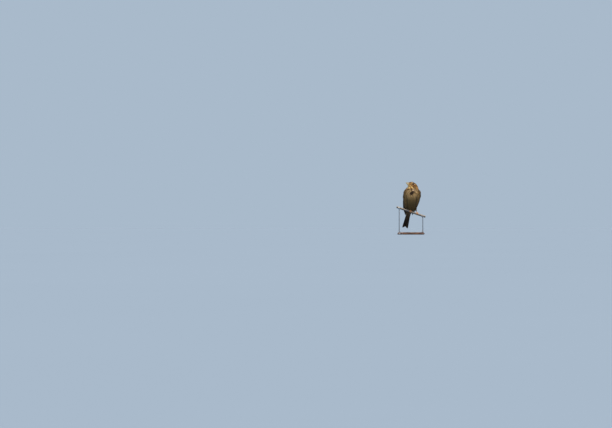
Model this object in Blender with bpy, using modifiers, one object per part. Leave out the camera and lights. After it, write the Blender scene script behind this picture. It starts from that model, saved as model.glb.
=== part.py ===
"""Corn bunting perched on a cut length of wire, life size, on a display stand.

Metres, +Z up. The origin is the middle of the underside of the stand's base. The bird faces -Y, with
its left side at +X. It sits upright with its head turned to its right, and the wire runs down
towards +X. Sizes are in millimetres in the tables below and are turned to metres by one function.
The body is modelled whole and parted with thin cuts.
"""

import math
from dataclasses import dataclass

import bmesh
import bpy
from mathutils import Matrix, Vector
from mathutils.bvhtree import BVHTree

MM = 0.001
GAP = 0.3  # left between pieces that touch
MERGE = 0.001  # points nearer than this become one

# Perch wire: its axis crosses the middle of the stand PERCH_HEIGHT above the floor.
PERCH_HEIGHT = 79.0
WIRE_RADIUS = 2.75
WIRE_HALF_LENGTH = 53.0
WIRE_SLOPE = math.radians(18.9)

# Display stand.
BASE_RADIUS = 48.0
BASE_THICKNESS = 8.0
BASE_ROUND = 3.0
BASE_STEPS = 40
ROD_RADIUS = 1.8
ROD_OFFSET = 41.0
SADDLE_RADIUS = 4.8
SADDLE_LENGTH = 7.0

# Head: its middle above the perch, and how it is turned.
HEAD_PLACE = (2.2, -9.0, 92.0)
HEAD_YAW = math.radians(-51)
HEAD_PITCH = math.radians(-26)
EYE_RADIUS = 3.3
EYE_PLACE = (8.8, -6.4, 2.6)

# Cuts that part the body, as places along the trunk's rings, 0 at the vent and 1 in the head.
TRUNK_CUTS = {"rump": 0.17, "belly": 0.42, "breast": 0.665}
NECK_CUT_PLACE = (4.6, -7.6, 83.2)
NECK_CUT_NORMAL = (-0.26, -0.30, 0.92)


@dataclass(frozen=True)
class Ring:
    """One section of a soft form: its middle and how far it reaches each way, in millimetres."""

    middle: tuple[float, float, float]
    side: float
    front: float
    back: float


# From under the tail up to inside the head. The middle leans to -X as it goes down.
TRUNK = (
    Ring((-7.2, 29.0, -9.0), 5.0, 3.4, 3.2),
    Ring((-5.8, 24.5, 1.5), 12.0, 8.6, 8.0),
    Ring((-3.2, 18.0, 14.0), 20.4, 15.4, 13.6),
    Ring((-0.6, 12.0, 27.0), 25.2, 23.5, 18.4),
    Ring((1.5, 6.5, 40.0), 27.8, 28.6, 22.0),
    Ring((3.0, 1.5, 53.0), 28.8, 30.0, 24.0),
    Ring((4.0, -2.5, 65.0), 28.6, 27.6, 23.4),
    Ring((5.2, -5.5, 76.0), 24.8, 22.0, 20.6),
    Ring((6.6, -6.8, 85.0), 19.4, 17.2, 18.4),
    Ring((6.0, -7.0, 93.0), 14.6, 13.4, 14.4),
    Ring((4.2, -8.4, 99.0), 8.0, 7.4, 8.0),
)

# From the nape to the lores, about the head's middle and facing -Y: front is down, back is up.
HEAD = (
    Ring((0, 14.6, -1.2), 5.0, 5.6, 4.8),
    Ring((0, 11.8, -1.0), 9.4, 9.8, 8.8),
    Ring((0, 6.6, -0.6), 12.4, 12.8, 12.3),
    Ring((0, 0.6, -0.2), 13.3, 13.4, 13.8),
    Ring((0, -5.0, -0.2), 12.2, 12.2, 12.5),
    Ring((0, -9.6, -0.6), 9.8, 10.2, 9.6),
    Ring((0, -13.0, -1.0), 7.2, 7.8, 6.8),
    Ring((0, -15.4, -1.3), 4.6, 5.2, 4.3),
)

BILL = (
    Ring((0, -11.0, -1.5), 4.2, 5.0, 4.5),
    Ring((0, -15.0, -1.6), 4.0, 4.7, 4.2),
    Ring((0, -19.0, -1.9), 3.35, 4.0, 3.5),
    Ring((0, -23.0, -2.4), 2.2, 2.6, 2.4),
    Ring((0, -26.0, -3.0), 1.1, 1.2, 1.2),
    Ring((0, -27.8, -3.5), 0.4, 0.4, 0.45),
)
# The bite line from behind the gape to past the tip, forward and up: it climbs to a tooth.
BITE_LINE = ((-9, -5.4), (-13.6, -4.2), (-16.6, -2.0), (-21, -2.3), (-25, -3.1), (-30, -4.2))

THIGHS = {
    "right": (
        Ring((-2.4, 2.2, 6.4), 1.7, 1.7, 1.7),
        Ring((-3.0, 3.6, 8.6), 4.0, 3.6, 3.8),
        Ring((-4.4, 6.6, 12.6), 6.2, 5.6, 6.0),
        Ring((-6.0, 10.0, 18.0), 7.0, 6.5, 7.0),
    ),
    "left": (
        Ring((18.8, 2.6, 1.8), 1.7, 1.7, 1.7),
        Ring((17.9, 4.0, 5.2), 4.0, 3.6, 3.8),
        Ring((16.0, 6.6, 10.6), 6.4, 5.8, 6.0),
        Ring((13.0, 10.0, 18.0), 7.6, 7.0, 7.0),
    ),
}


@dataclass(frozen=True)
class WingSection:
    """A level cut through a folded wing: front edge, outermost place and back edge of its arc.

    Places are sideways and backwards from the body's middle line, in millimetres.
    """

    height: float
    front: tuple[float, float]
    outer: tuple[float, float]
    back: tuple[float, float]
    thickness: float


WING = (
    WingSection(76.0, (22.0, -6.5), (24.6, -1.0), (20.4, 6.0), 2.6),
    WingSection(71.0, (24.4, -11.0), (28.6, 0.0), (17.6, 14.0), 4.2),
    WingSection(62.0, (26.0, -12.5), (30.6, 3.0), (14.0, 21.5), 4.8),
    WingSection(50.0, (26.8, -9.0), (30.4, 8.0), (10.6, 27.0), 4.6),
    WingSection(37.0, (26.0, -2.4), (29.2, 14.0), (7.6, 30.4), 4.0),
    WingSection(24.0, (23.8, 5.0), (26.2, 19.0), (5.6, 32.8), 3.4),
    WingSection(10.0, (20.8, 13.4), (22.2, 25.0), (5.4, 35.0), 2.8),
    WingSection(-2.0, (16.8, 21.6), (17.0, 29.0), (8.0, 35.6), 2.2),
    WingSection(-12.0, (13.8, 28.0), (13.4, 31.4), (10.4, 34.6), 1.2),
)
WING_EDGE_LIFT = 1.0  # how far a wing's edges stand off the body, and its middle
WING_MIDDLE_LIFT = 2.0

# Tail: a flat bundle of feathers, notched at the tip.
TAIL_ROOT = (-5.6, 24.0, 4.0)
TAIL_TIP = (-20.6, 48.6, -56.6)
TAIL_HALF_WIDTHS = (3.6, 5.6, 7.0, 7.4, 8.2, 9.0, 9.6)
TAIL_THICKNESSES = (3.4, 3.6, 3.0, 2.4, 2.0, 1.6, 1.2)
TAIL_NOTCH = 5.0
TAIL_CROWN = 1.6

# Feet: where each stands along the wire, and its toes as degrees round the wire from the top.
FEET = {"right": -1.6, "left": 20.8}
TOE_LIFT = 1.15
PAD_ANGLE = -14.0
PAD_OVERLAP = 7.0


@dataclass(frozen=True)
class Toe:
    """A toe that grips the wire: how far round it ends, how far it spreads, and its claw."""

    end_angle: float
    spread: float
    thickness: float
    claw_angle: float


TOES = {
    "inner": Toe(112.0, 4.6, 0.95, 48.0),
    "middle": Toe(136.0, 0.7, 1.05, 46.0),
    "outer": Toe(112.0, -4.2, 0.95, 48.0),
    "hind": Toe(-122.0, -0.5, 1.1, -62.0),
}
TOE_POINTS = 7
CLAW_POINTS = 5


def mm(place):
    """A place in millimetres from the perch's middle, as world metres."""
    x, y, z = place
    return Vector((x, y, z + PERCH_HEIGHT)) * MM


def along(rows, share):
    """The smooth value at a share from 0 to 1 along rows of numbers."""
    spans = len(rows) - 1
    place = min(max(share, 0.0), 1.0) * spans
    i = min(int(place), spans - 1)
    f = place - i
    near = (rows[max(i - 1, 0)], rows[i], rows[i + 1], rows[min(i + 2, spans)])
    return tuple(
        0.5 * (2 * b + (c - a) * f + (2 * a - 5 * b + 4 * c - d) * f**2 + (3 * b - a - 3 * c + d) * f**3)
        for a, b, c, d in zip(*near)
    )


def clear_scene():
    """Remove every object."""
    for obj in list(bpy.data.objects):
        bpy.data.objects.remove(obj, do_unlink=True)


def collection(name):
    """A new collection in the scene."""
    made = bpy.data.collections.new(name)
    bpy.context.scene.collection.children.link(made)
    return made


def material(name, colour, roughness, metallic=0.0):
    """A Principled material of one colour."""
    mat = bpy.data.materials.new(name)
    mat.use_nodes = True
    shader = mat.node_tree.nodes["Principled BSDF"]
    shader.inputs["Base Color"].default_value = (*colour, 1.0)
    shader.inputs["Roughness"].default_value = roughness
    shader.inputs["Metallic"].default_value = metallic
    mat.diffuse_color = (*colour, 1.0)
    return mat


def mesh_object(name, bm):
    """An object in the parts collection from a bmesh, with its faces pointing out."""
    bm.normal_update()
    bmesh.ops.recalc_face_normals(bm, faces=bm.faces)
    mesh = bpy.data.meshes.new(name)
    bm.to_mesh(mesh)
    bm.free()
    obj = bpy.data.objects.new(name, mesh)
    bpy.data.collections["corn_bunting"].objects.link(obj)
    return obj


def baked(obj):
    """The object with its modifiers, or its curve, turned into a clean mesh of its own."""
    graph = bpy.context.evaluated_depsgraph_get()
    mesh = bpy.data.meshes.new_from_object(obj.evaluated_get(graph))
    bm = bmesh.new()
    bm.from_mesh(mesh)
    bmesh.ops.remove_doubles(bm, verts=bm.verts, dist=MERGE * MM)
    bmesh.ops.dissolve_degenerate(bm, edges=bm.edges, dist=MERGE * MM)
    bmesh.ops.triangulate(bm, faces=[face for face in bm.faces if len(face.verts) > 4])
    name = obj.name
    bpy.data.objects.remove(obj, do_unlink=True)
    return mesh_object(name, bm)


def boolean(obj, tool, operation="DIFFERENCE"):
    """The object joined with, or cut by, a tool that is then removed."""
    step = obj.modifiers.new("Cut", "BOOLEAN")
    step.operation = operation
    step.solver = "EXACT"
    step.use_self = True
    step.object = tool
    result = baked(obj)
    bpy.data.objects.remove(tool, do_unlink=True)
    return result


def swollen(obj, distance=GAP):
    """A copy of an object whose surface stands out by a distance, to cut a neighbour with."""
    bm = bmesh.new()
    bm.from_mesh(obj.data)
    bmesh.ops.triangulate(bm, faces=bm.faces)
    bm.normal_update()
    moves = [(vert, vert.normal * vert.calc_shell_factor()) for vert in bm.verts]
    for vert, move in moves:
        vert.co += move * distance * MM
    return cutter(mesh_object(obj.name + "_room", bm))


def cutter(obj):
    """The object moved to the collection of cutters."""
    bpy.data.collections["corn_bunting"].objects.unlink(obj)
    bpy.data.collections["cutters"].objects.link(obj)
    obj.hide_render = True
    obj.display_type = "WIRE"
    return obj


def polygons(obj):
    """An object's points and faces as plain lists."""
    mesh = obj.data
    return [vert.co.copy() for vert in mesh.vertices], [tuple(face.vertices) for face in mesh.polygons]


def volume(obj):
    """The volume that a closed mesh holds."""
    bm = bmesh.new()
    bm.from_mesh(obj.data)
    held = abs(bm.calc_volume())
    bm.free()
    return held


def mean_height(obj):
    """The mean height of a mesh's points."""
    return sum(vert.co.z for vert in obj.data.vertices) / len(obj.data.vertices)


def pieces_of(obj, smallest=20.0):
    """Its separate bodies as objects, lowest first, without crumbs under some cubic millimetres."""
    bpy.ops.object.select_all(action="DESELECT")
    bpy.context.view_layer.objects.active = obj
    obj.select_set(True)
    bpy.ops.mesh.separate(type="LOOSE")
    found = []
    for piece in list(bpy.context.selected_objects):
        if volume(piece) < smallest * MM**3:
            bpy.data.objects.remove(piece, do_unlink=True)
        else:
            found.append(piece)
    return sorted(found, key=mean_height)


def ring_frame(rings, share):
    """Middle, side, front and along directions, and the three reaches, at a share along rings."""
    rows = [(*ring.middle, ring.side, ring.front, ring.back) for ring in rings]
    here = along(rows, share)
    before, after = along(rows, share - 0.02), along(rows, share + 0.02)
    way = (Vector(after[:3]) - Vector(before[:3])).normalized()
    side = (Vector((1, 0, 0)) - way * way.x).normalized()
    return Vector(here[:3]), side, side.cross(way), way, here[3:]


def soft_form(name, rings, around, rows, pose=None):
    """A closed form through rings, from a sphere whose parallels become the sections."""
    bm = bmesh.new()
    bmesh.ops.create_uvsphere(bm, u_segments=around, v_segments=rows, radius=1.0)
    for vert in bm.verts:
        row = round(math.acos(max(-1.0, min(1.0, vert.co.z))) / math.pi * rows)
        share = (rows - 1 - row) / (rows - 2)
        middle, side, front, way, (reach, ahead, behind) = ring_frame(rings, share)
        if row in (0, rows):
            place = middle + way * (0.35 * reach if row == 0 else -0.35 * reach)
        else:
            angle = math.atan2(vert.co.y, vert.co.x)
            depth = ahead if math.sin(angle) > 0 else behind
            place = middle + side * reach * math.cos(angle) + front * depth * math.sin(angle)
        vert.co = pose @ (place * MM) if pose else mm(place)
    return mesh_object(name, bm)


def head_pose():
    """The head's own frame, facing -Y, placed and turned in the world."""
    turn = Matrix.Rotation(HEAD_YAW, 4, "Z") @ Matrix.Rotation(HEAD_PITCH, 4, "X")
    return Matrix.Translation(mm(HEAD_PLACE)) @ turn


def slab(name, place, normal, half_side=60.0):
    """A thin square cutter across a place."""
    bm = bmesh.new()
    bmesh.ops.create_cube(bm, size=1.0)
    bmesh.ops.scale(bm, vec=Vector((2 * half_side, 2 * half_side, GAP)) * MM, verts=bm.verts)
    turn = Vector((0, 0, 1)).rotation_difference(Vector(normal)).to_matrix().to_4x4()
    bmesh.ops.transform(bm, matrix=Matrix.Translation(mm(place)) @ turn, verts=bm.verts)
    return cutter(mesh_object(name, bm))


def lean(height):
    """Sideways place of the body's middle line at a height."""
    rings = sorted(TRUNK, key=lambda ring: ring.middle[2])
    if height <= rings[0].middle[2]:
        return rings[0].middle[0]
    for low, high in zip(rings, rings[1:]):
        if height <= high.middle[2]:
            share = (height - low.middle[2]) / (high.middle[2] - low.middle[2])
            return low.middle[0] + share * (high.middle[0] - low.middle[0])
    return rings[-1].middle[0]


def lifted(spot, body_tree, lift):
    """A world place moved out, where it must, to stand a lift in metres off the body."""
    near, normal, _, distance = body_tree.find_nearest(spot)
    outside = distance if (spot - near).dot(normal) > 0 else -distance
    return near + normal * lift if outside < lift else spot


def folded_wing(name, hand, body_tree, around=22, rows=16):
    """One folded wing as a closed blade that arches round the body; hand is 1 for the left."""
    table = [(w.height, *w.front, *w.outer, *w.back, w.thickness) for w in WING]
    bm = bmesh.new()
    bmesh.ops.create_uvsphere(bm, u_segments=around, v_segments=rows, radius=1.0)
    for vert in bm.verts:
        row = round(math.acos(max(-1.0, min(1.0, vert.co.z))) / math.pi * rows)
        share = min(max((row - 1) / (rows - 2), 0.0), 1.0)
        height, fx, fy, ox, oy, bx, by, thickness = along(table, share)
        front, outer, back = Vector((fx, fy)), Vector((ox, oy)), Vector((bx, by))
        bend = 2 * outer - 0.5 * (front + back)
        angle = math.atan2(vert.co.y, vert.co.x)
        at_end = row in (0, rows)
        u = 0.5 if at_end else 0.5 * (1 - math.cos(angle))
        spot = front * (1 - u) ** 2 + bend * 2 * u * (1 - u) + back * u**2
        slope = (bend - front) * (1 - u) + (back - bend) * u
        outward = Vector((slope.y, -slope.x)).normalized()
        depth = 0.5 * thickness * (1 - (0 if at_end else math.sin(angle)))
        height += {0: 1.2, rows: -2.4}.get(row, 0.0)
        lift = WING_EDGE_LIFT + (WING_MIDDLE_LIFT - WING_EDGE_LIFT) * math.sin(math.pi * u)
        place = lifted(mm((hand * spot.x + lean(height), spot.y, height)), body_tree, lift * MM)
        vert.co = place - Vector((hand * outward.x, outward.y, 0)) * depth * MM
    return mesh_object(name, bm)


def tail_blade(name, rows=9, columns=6):
    """The closed tail: a cambered blade that widens to a notched tip."""
    root, tip = Vector(TAIL_ROOT), Vector(TAIL_TIP)
    way = (tip - root).normalized()
    side = (Vector((1, 0, 0)) - way * way.x).normalized()
    top = way.cross(side)
    length = (tip - root).length
    widths = [(value,) for value in TAIL_HALF_WIDTHS]
    depths = [(value,) for value in TAIL_THICKNESSES]
    bm = bmesh.new()
    bmesh.ops.create_grid(bm, x_segments=columns, y_segments=rows, size=1.0)
    faces = bmesh.ops.extrude_face_region(bm, geom=bm.faces[:])
    lower = {item for item in faces["geom"] if isinstance(item, bmesh.types.BMVert)}
    for vert in bm.verts:
        across, share = vert.co.x, (vert.co.y + 1) / 2
        half, thick = along(widths, share)[0], along(depths, share)[0]
        reach = length * share - TAIL_NOTCH * (1 - abs(across)) * share**4
        reach -= 2.6 * max(0.0, abs(across) - 0.7) / 0.3 * share**4
        camber = TAIL_CROWN * (1 - across**2)
        level = thick * (0.5 if vert not in lower else -0.5) * (1 - 0.45 * across**2)
        vert.co = mm(root + way * reach + side * half * across + top * (camber + level))
    return mesh_object(name, bm)


def tube(name, points, radii, resolution=2):
    """A round tube through world points in metres, as a mesh."""
    curve = bpy.data.curves.new(name, "CURVE")
    curve.dimensions = "3D"
    curve.bevel_depth = MM
    curve.bevel_resolution = resolution
    curve.use_fill_caps = True
    spline = curve.splines.new("POLY")
    spline.points.add(len(points) - 1)
    for point, place, radius in zip(spline.points, points, radii):
        point.co = (*place, 1.0)
        point.radius = radius
    obj = bpy.data.objects.new(name, curve)
    bpy.data.collections["corn_bunting"].objects.link(obj)
    return baked(obj)


def wire_place(run, angle, distance):
    """A place by the wire: along it, round it from the top to the front, and off its axis."""
    way = Vector((math.cos(WIRE_SLOPE), 0, -math.sin(WIRE_SLOPE)))
    up = Vector((math.sin(WIRE_SLOPE), 0, math.cos(WIRE_SLOPE)))
    turn = math.radians(angle)
    out = up * math.cos(turn) + Vector((0, -1, 0)) * math.sin(turn)
    return mm(way * run + out * distance)


def perch_wire(name):
    """The cut length of wire."""
    ends = [wire_place(-WIRE_HALF_LENGTH, 0, 0), wire_place(WIRE_HALF_LENGTH, 0, 0)]
    return tube(name, ends, [WIRE_RADIUS] * 2, 6)


def toe_path(toe, run, hand):
    """Points and radii of a toe from the foot's pad round the wire."""
    points, radii = [], []
    start = PAD_ANGLE - math.copysign(PAD_OVERLAP, toe.end_angle)
    for step in range(TOE_POINTS):
        share = step / (TOE_POINTS - 1)
        angle = start + (toe.end_angle - start) * share
        radius = toe.thickness * (1 - 0.28 * share)
        clear = WIRE_RADIUS + GAP + radius + 0.06 + TOE_LIFT * (1 - share) ** 2
        spread = toe.spread * (0.14 + 0.86 * share**0.8)
        points.append(wire_place(run + hand * spread, angle, clear))
        radii.append(radius)
    return points, radii


def claw_path(toe, run, hand):
    """Points and radii of the claw that goes on from a toe's end, hooking away from the wire."""
    points, radii = [], []
    base = toe.thickness * 0.62
    for step in range(CLAW_POINTS):
        share = step / (CLAW_POINTS - 1)
        angle = toe.end_angle + toe.claw_angle * (share - 0.12)
        radius = base * (1 - share) ** 0.75 + 0.16
        clear = WIRE_RADIUS + GAP + base + 0.35 + 0.9 * math.sin(math.pi * share) + 0.35 * share
        points.append(wire_place(run + hand * toe.spread * (1 + 0.12 * share), angle, clear))
        radii.append(radius)
    return points, radii


def foot(side, hand):
    """Tarsus, pad and four toes of one foot, joined, and its four claws."""
    run = FEET[side] / math.cos(WIRE_SLOPE)
    pad = wire_place(run, PAD_ANGLE, WIRE_RADIUS + GAP + 2.1)
    top = THIGHS[side][2].middle
    bend = THIGHS[side][0].middle
    leg = tube("foot_" + side, [pad, mm(bend), mm(top)], [1.35, 1.15, 1.25], 3)
    claws = []
    for toe_name, toe in TOES.items():
        leg = boolean(leg, tube("toe", *toe_path(toe, run, hand), 1), "UNION")
        claws.append(tube(f"claw_{side}_{toe_name}", *claw_path(toe, run, hand), 1))
    return leg, [boolean(claw, swollen(leg)) for claw in claws]


def bill_parts():
    """Upper and lower mandible, parted along the bite line."""
    bill = soft_form("bill", BILL, 16, 12, head_pose())
    bm = bmesh.new()
    rows = [[bm.verts.new((x, y, z)) for y, z in BITE_LINE] for x in (-12, 12)]
    for i in range(len(BITE_LINE) - 1):
        bm.faces.new((rows[0][i], rows[0][i + 1], rows[1][i + 1], rows[1][i]))
    bmesh.ops.transform(bm, matrix=head_pose() @ Matrix.Scale(MM, 4), verts=bm.verts)
    bite = cutter(mesh_object("bite", bm))
    wall = bite.modifiers.new("Wall", "SOLIDIFY")
    wall.thickness = GAP * 0.6 * MM
    wall.offset = 0.0
    return boolean(bill, bite)


def eye(name, hand):
    """One eyeball, sunk in the side of the head."""
    x, y, z = EYE_PLACE
    bm = bmesh.new()
    bmesh.ops.create_uvsphere(bm, u_segments=12, v_segments=8, radius=EYE_RADIUS * MM)
    place = head_pose() @ Matrix.Translation(Vector((hand * x, y, z)) * MM)
    bmesh.ops.transform(bm, matrix=place @ Matrix.Rotation(math.pi / 2, 4, "Y"), verts=bm.verts)
    return mesh_object(name, bm)


def stand_base(name):
    """The turned round base."""
    flat, rim = BASE_RADIUS - BASE_ROUND, BASE_THICKNESS - BASE_ROUND
    quarter = [math.radians(angle) for angle in (90, 60, 30, 0)]
    profile = [(0, BASE_THICKNESS)]
    profile += [(flat + BASE_ROUND * math.cos(a), rim + BASE_ROUND * math.sin(a)) for a in quarter]
    profile += [(BASE_RADIUS, 0.8), (BASE_RADIUS - 0.8, 0), (0, 0)]
    edges = [(i, i + 1) for i in range(len(profile) - 1)]
    mesh = bpy.data.meshes.new(name)
    mesh.from_pydata([(x * MM, 0, z * MM) for x, z in profile], edges, [])
    obj = bpy.data.objects.new(name, mesh)
    bpy.data.collections["corn_bunting"].objects.link(obj)
    turn = obj.modifiers.new("Turn", "SCREW")
    turn.steps = turn.render_steps = BASE_STEPS
    turn.use_merge_vertices = True
    turn.merge_threshold = 0.0001
    return baked(obj)


def stand_rod(name, offset):
    """A rod from the base to a half-round saddle under the wire."""
    run = offset / math.cos(WIRE_SLOPE)
    middle = wire_place(run, 0, 0)
    foot_place = Vector((middle.x, 0, (BASE_THICKNESS + GAP) * MM))
    rod = tube(name, [foot_place, middle], [ROD_RADIUS] * 2, 4)
    half = 0.5 * SADDLE_LENGTH
    ends = [wire_place(run - half, 0, 0), wire_place(run + half, 0, 0)]
    rod = boolean(rod, tube("saddle", ends, [SADDLE_RADIUS] * 2, 6), "UNION")
    room = [wire_place(run - 3 * half, 0, 0), wire_place(run + 3 * half, 0, 0)]
    rod = boolean(rod, cutter(tube("room", room, [WIRE_RADIUS + GAP] * 2, 6)))
    bm = bmesh.new()
    bmesh.ops.create_cube(bm, size=20 * MM)
    tilt = Matrix.Rotation(WIRE_SLOPE, 4, "Y")
    bmesh.ops.transform(bm, matrix=Matrix.Translation(wire_place(run, 0, 10.4)) @ tilt, verts=bm.verts)
    return boolean(rod, cutter(mesh_object("above", bm)))


def finished(obj, name, mat):
    """The object named, smooth where it is round, with its material."""
    obj.name = obj.data.name = name
    obj.data.shade_smooth()
    obj.data.set_sharp_from_angle(angle=math.radians(40))
    obj.data.materials.clear()
    obj.data.materials.append(mat)
    return obj


def build():
    """Model the bird, its perch and the stand."""
    clear_scene()
    collection("corn_bunting")
    collection("cutters")
    plumage = material("Plumage", (0.16, 0.11, 0.06), 0.85)
    flight = material("FlightFeathers", (0.07, 0.05, 0.03), 0.7)
    horn = material("Horn", (0.45, 0.33, 0.22), 0.4)
    skin = material("LegSkin", (0.42, 0.21, 0.11), 0.5)
    iris = material("Eye", (0.01, 0.006, 0.004), 0.05)
    cable = material("Cable", (0.05, 0.05, 0.055), 0.5)
    wood = material("Wood", (0.25, 0.13, 0.06), 0.45)
    steel = material("Steel", (0.55, 0.55, 0.56), 0.3, 1.0)

    hands = {"left": 1, "right": -1}
    body = soft_form("body", TRUNK, 28, 22)
    body_tree = BVHTree.FromPolygons(*polygons(body))
    body = boolean(body, soft_form("skull", HEAD, 24, 18, head_pose()), "UNION")
    wings = {side: folded_wing("wing_" + side, hand, body_tree) for side, hand in hands.items()}
    eyes = {side: eye("eye_" + side, hand) for side, hand in hands.items()}
    tail = tail_blade("tail")
    for part in (*wings.values(), *eyes.values(), tail):
        body = boolean(body, swollen(part))
    bill = bill_parts()
    bill = boolean(bill, swollen(body))

    for side, rings in THIGHS.items():
        thigh = boolean(soft_form("thigh_" + side, rings, 14, 8), swollen(body))
        thigh = boolean(thigh, swollen(wings[side]))
        leg, claws = foot(side, hands[side])
        leg = boolean(leg, swollen(body))
        leg = pieces_of(leg)[0]
        thigh = boolean(thigh, swollen(leg))
        finished(pieces_of(thigh)[0], "thigh_" + side, plumage)
        finished(leg, "foot_" + side, skin)
        for claw in claws:
            name = claw.name
            finished(pieces_of(claw, 0.3)[0], name, horn)

    for name, share in TRUNK_CUTS.items():
        middle, _, _, way, _ = ring_frame(TRUNK, share)
        body = boolean(body, slab("cut_" + name, middle, way))
    body = boolean(body, slab("cut_neck", NECK_CUT_PLACE, NECK_CUT_NORMAL))
    for piece, name in zip(pieces_of(body), (*TRUNK_CUTS, "neck", "head")):
        finished(piece, name, plumage)
    for piece, name in zip(pieces_of(bill), ("bill_lower", "bill_upper")):
        finished(piece, name, horn)
    for side in wings:
        finished(wings[side], "wing_" + side, flight)
        finished(eyes[side], "eye_" + side, iris)
    finished(tail, "tail", flight)
    finished(perch_wire("perch_wire"), "perch_wire", cable)
    finished(stand_base("stand_base"), "stand_base", wood)
    for name, offset in (("stand_rod_left", ROD_OFFSET), ("stand_rod_right", -ROD_OFFSET)):
        finished(stand_rod(name, offset), name, steel)


build()
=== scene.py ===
"""Corn bunting perched on a cut length of cable, life size, on a display stand.

Metres, +Z up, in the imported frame: the origin is the middle of the underside of the base, the bird
faces -Y with its left side at +X, and its head is turned to its right. Tables are in millimetres,
with heights measured from the middle of the perch, and are turned to metres by one function.
"""

import logging
import math
from collections.abc import Sequence
from dataclasses import dataclass, field, fields
from enum import Enum

import bmesh
import bpy
import numpy as np
from bpy.types import Material, Mesh, NodeSocket, Object
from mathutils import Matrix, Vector
from mathutils.bvhtree import BVHTree
from mathutils.kdtree import KDTree


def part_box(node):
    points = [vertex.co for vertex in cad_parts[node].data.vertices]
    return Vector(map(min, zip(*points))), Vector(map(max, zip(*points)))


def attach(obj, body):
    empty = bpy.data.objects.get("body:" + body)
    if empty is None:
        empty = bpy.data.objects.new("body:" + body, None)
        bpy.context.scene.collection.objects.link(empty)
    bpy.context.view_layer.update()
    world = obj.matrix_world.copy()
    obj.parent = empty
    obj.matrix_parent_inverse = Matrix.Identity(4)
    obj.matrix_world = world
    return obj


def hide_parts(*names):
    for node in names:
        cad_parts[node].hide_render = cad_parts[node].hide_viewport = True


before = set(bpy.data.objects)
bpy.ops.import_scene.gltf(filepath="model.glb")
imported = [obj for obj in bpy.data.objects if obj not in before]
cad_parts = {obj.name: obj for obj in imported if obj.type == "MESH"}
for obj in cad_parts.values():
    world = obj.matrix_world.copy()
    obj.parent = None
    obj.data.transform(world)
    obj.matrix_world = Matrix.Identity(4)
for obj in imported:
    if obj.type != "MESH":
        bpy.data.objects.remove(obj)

Array = np.ndarray
Pair = tuple[float, float]
Triple = tuple[float, float, float]
Series = tuple[float, ...]
Table = tuple[Series, ...]
log = logging.getLogger("corn_bunting")

MM = 0.001
SEED = 20260
PERCH_HEIGHT = 79.0
PERCH = np.array([0.0, 0.0, PERCH_HEIGHT])
WIRE_RADIUS = 2.75
WIRE_HALF_LENGTH = 53.0
WIRE_SLOPE = math.radians(18.9)
WIRE_WAY = Vector((math.cos(WIRE_SLOPE), 0, -math.sin(WIRE_SLOPE)))
WIRE_UP = Vector((math.sin(WIRE_SLOPE), 0, math.cos(WIRE_SLOPE)))
ALONG_WIRE = math.pi / 2 + WIRE_SLOPE
BODY = "root"
TRUNK = ("belly", "rump")
THIGHS = ("thigh_left", "thigh_right")
FLESH = ("head", "neck", "breast", *TRUNK, *THIGHS)
WINGS = ("wing_left", "wing_right")
EYES = ("eye_left", "eye_right")


class Slot(Enum):
    """Names of material slots, one for each kind of finish."""

    PLUMAGE = "plumage"
    FLIGHT = "flight_feathers"
    BILL = "bill_horn"
    LEG = "leg_skin"
    CLAW = "claw_horn"
    EYE = "eye"
    CABLE = "cable"
    WOOD = "base_wood"
    STEEL = "rod_steel"


class Side(Enum):
    """The bird's own sides; the value is the way along X."""

    LEFT = 1
    RIGHT = -1

    @property
    def word(self) -> str:
        """The side's name as the nodes have it."""
        return self.name.lower()


# --- small tools


def srgb(code: str) -> Array:
    """The three sRGB parts, 0 to 1, of a hex colour."""
    return np.array([int(code[i : i + 2], 16) / 255 for i in (0, 2, 4)])


def linear(colour: Array) -> Array:
    """sRGB colours as linear light.

    Args:
        colour: sRGB parts, 0 to 1, in an array of any shape.

    Returns:
        The linear parts in an array of the same shape.
    """
    colour = np.clip(colour, 0, 1)
    return np.where(colour <= 0.04045, colour / 12.92, ((colour + 0.055) / 1.055) ** 2.4)


def paint(code: str) -> tuple[float, float, float, float]:
    """A hex colour as the linear RGBA that a shader's socket takes."""
    return (*linear(srgb(code)).tolist(), 1.0)


def smooth(x: Array, low: float, high: float) -> Array:
    """A smooth step from 0 at low to 1 at high; low may be above high."""
    t = np.clip((x - low) / (high - low), 0, 1)
    return t * t * (3 - 2 * t)


def band(x: Array, middle: float, half: float, soft: float) -> Array:
    """1 within half of the middle, falling to 0 over a further soft."""
    return 1 - smooth(np.abs(x - middle), half, half + soft)


def layered(base: str, *layers: tuple[str, Array]) -> Array:
    """Colours at places: a hex colour under others, each with its share at each place."""
    ground = srgb(base)[None]
    for code, share in layers:
        ground = ground + (srgb(code) - ground) * np.clip(share, 0, 1)[:, None]
    return ground


def unit(v: Array) -> Array:
    """Vectors, along the last axis, at length one."""
    return v / np.maximum(np.linalg.norm(v, axis=-1, keepdims=True), 1e-12)


def flattened(v: Array, normal: Array) -> Array:
    """Vectors laid in the planes across their normals, at length one."""
    return unit(v - normal * (v * normal).sum(-1, keepdims=True))


def place(x: float, y: float, z: float) -> Vector:
    """A place in millimetres about the middle of the perch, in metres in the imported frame."""
    return Vector((x, y, z + PERCH_HEIGHT)) * MM


def wire_place(run: float, angle: float, distance: float) -> Vector:
    """A place by the perch.

    Args:
        run: millimetres along the wire, down to +X.
        angle: degrees round it, from the top towards the front.
        distance: millimetres off its axis.

    Returns:
        The place in metres.
    """
    turn = math.radians(angle)
    out = WIRE_UP * math.cos(turn) + Vector((0, -1, 0)) * math.sin(turn)
    return place(*(WIRE_WAY * run + out * distance))


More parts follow.
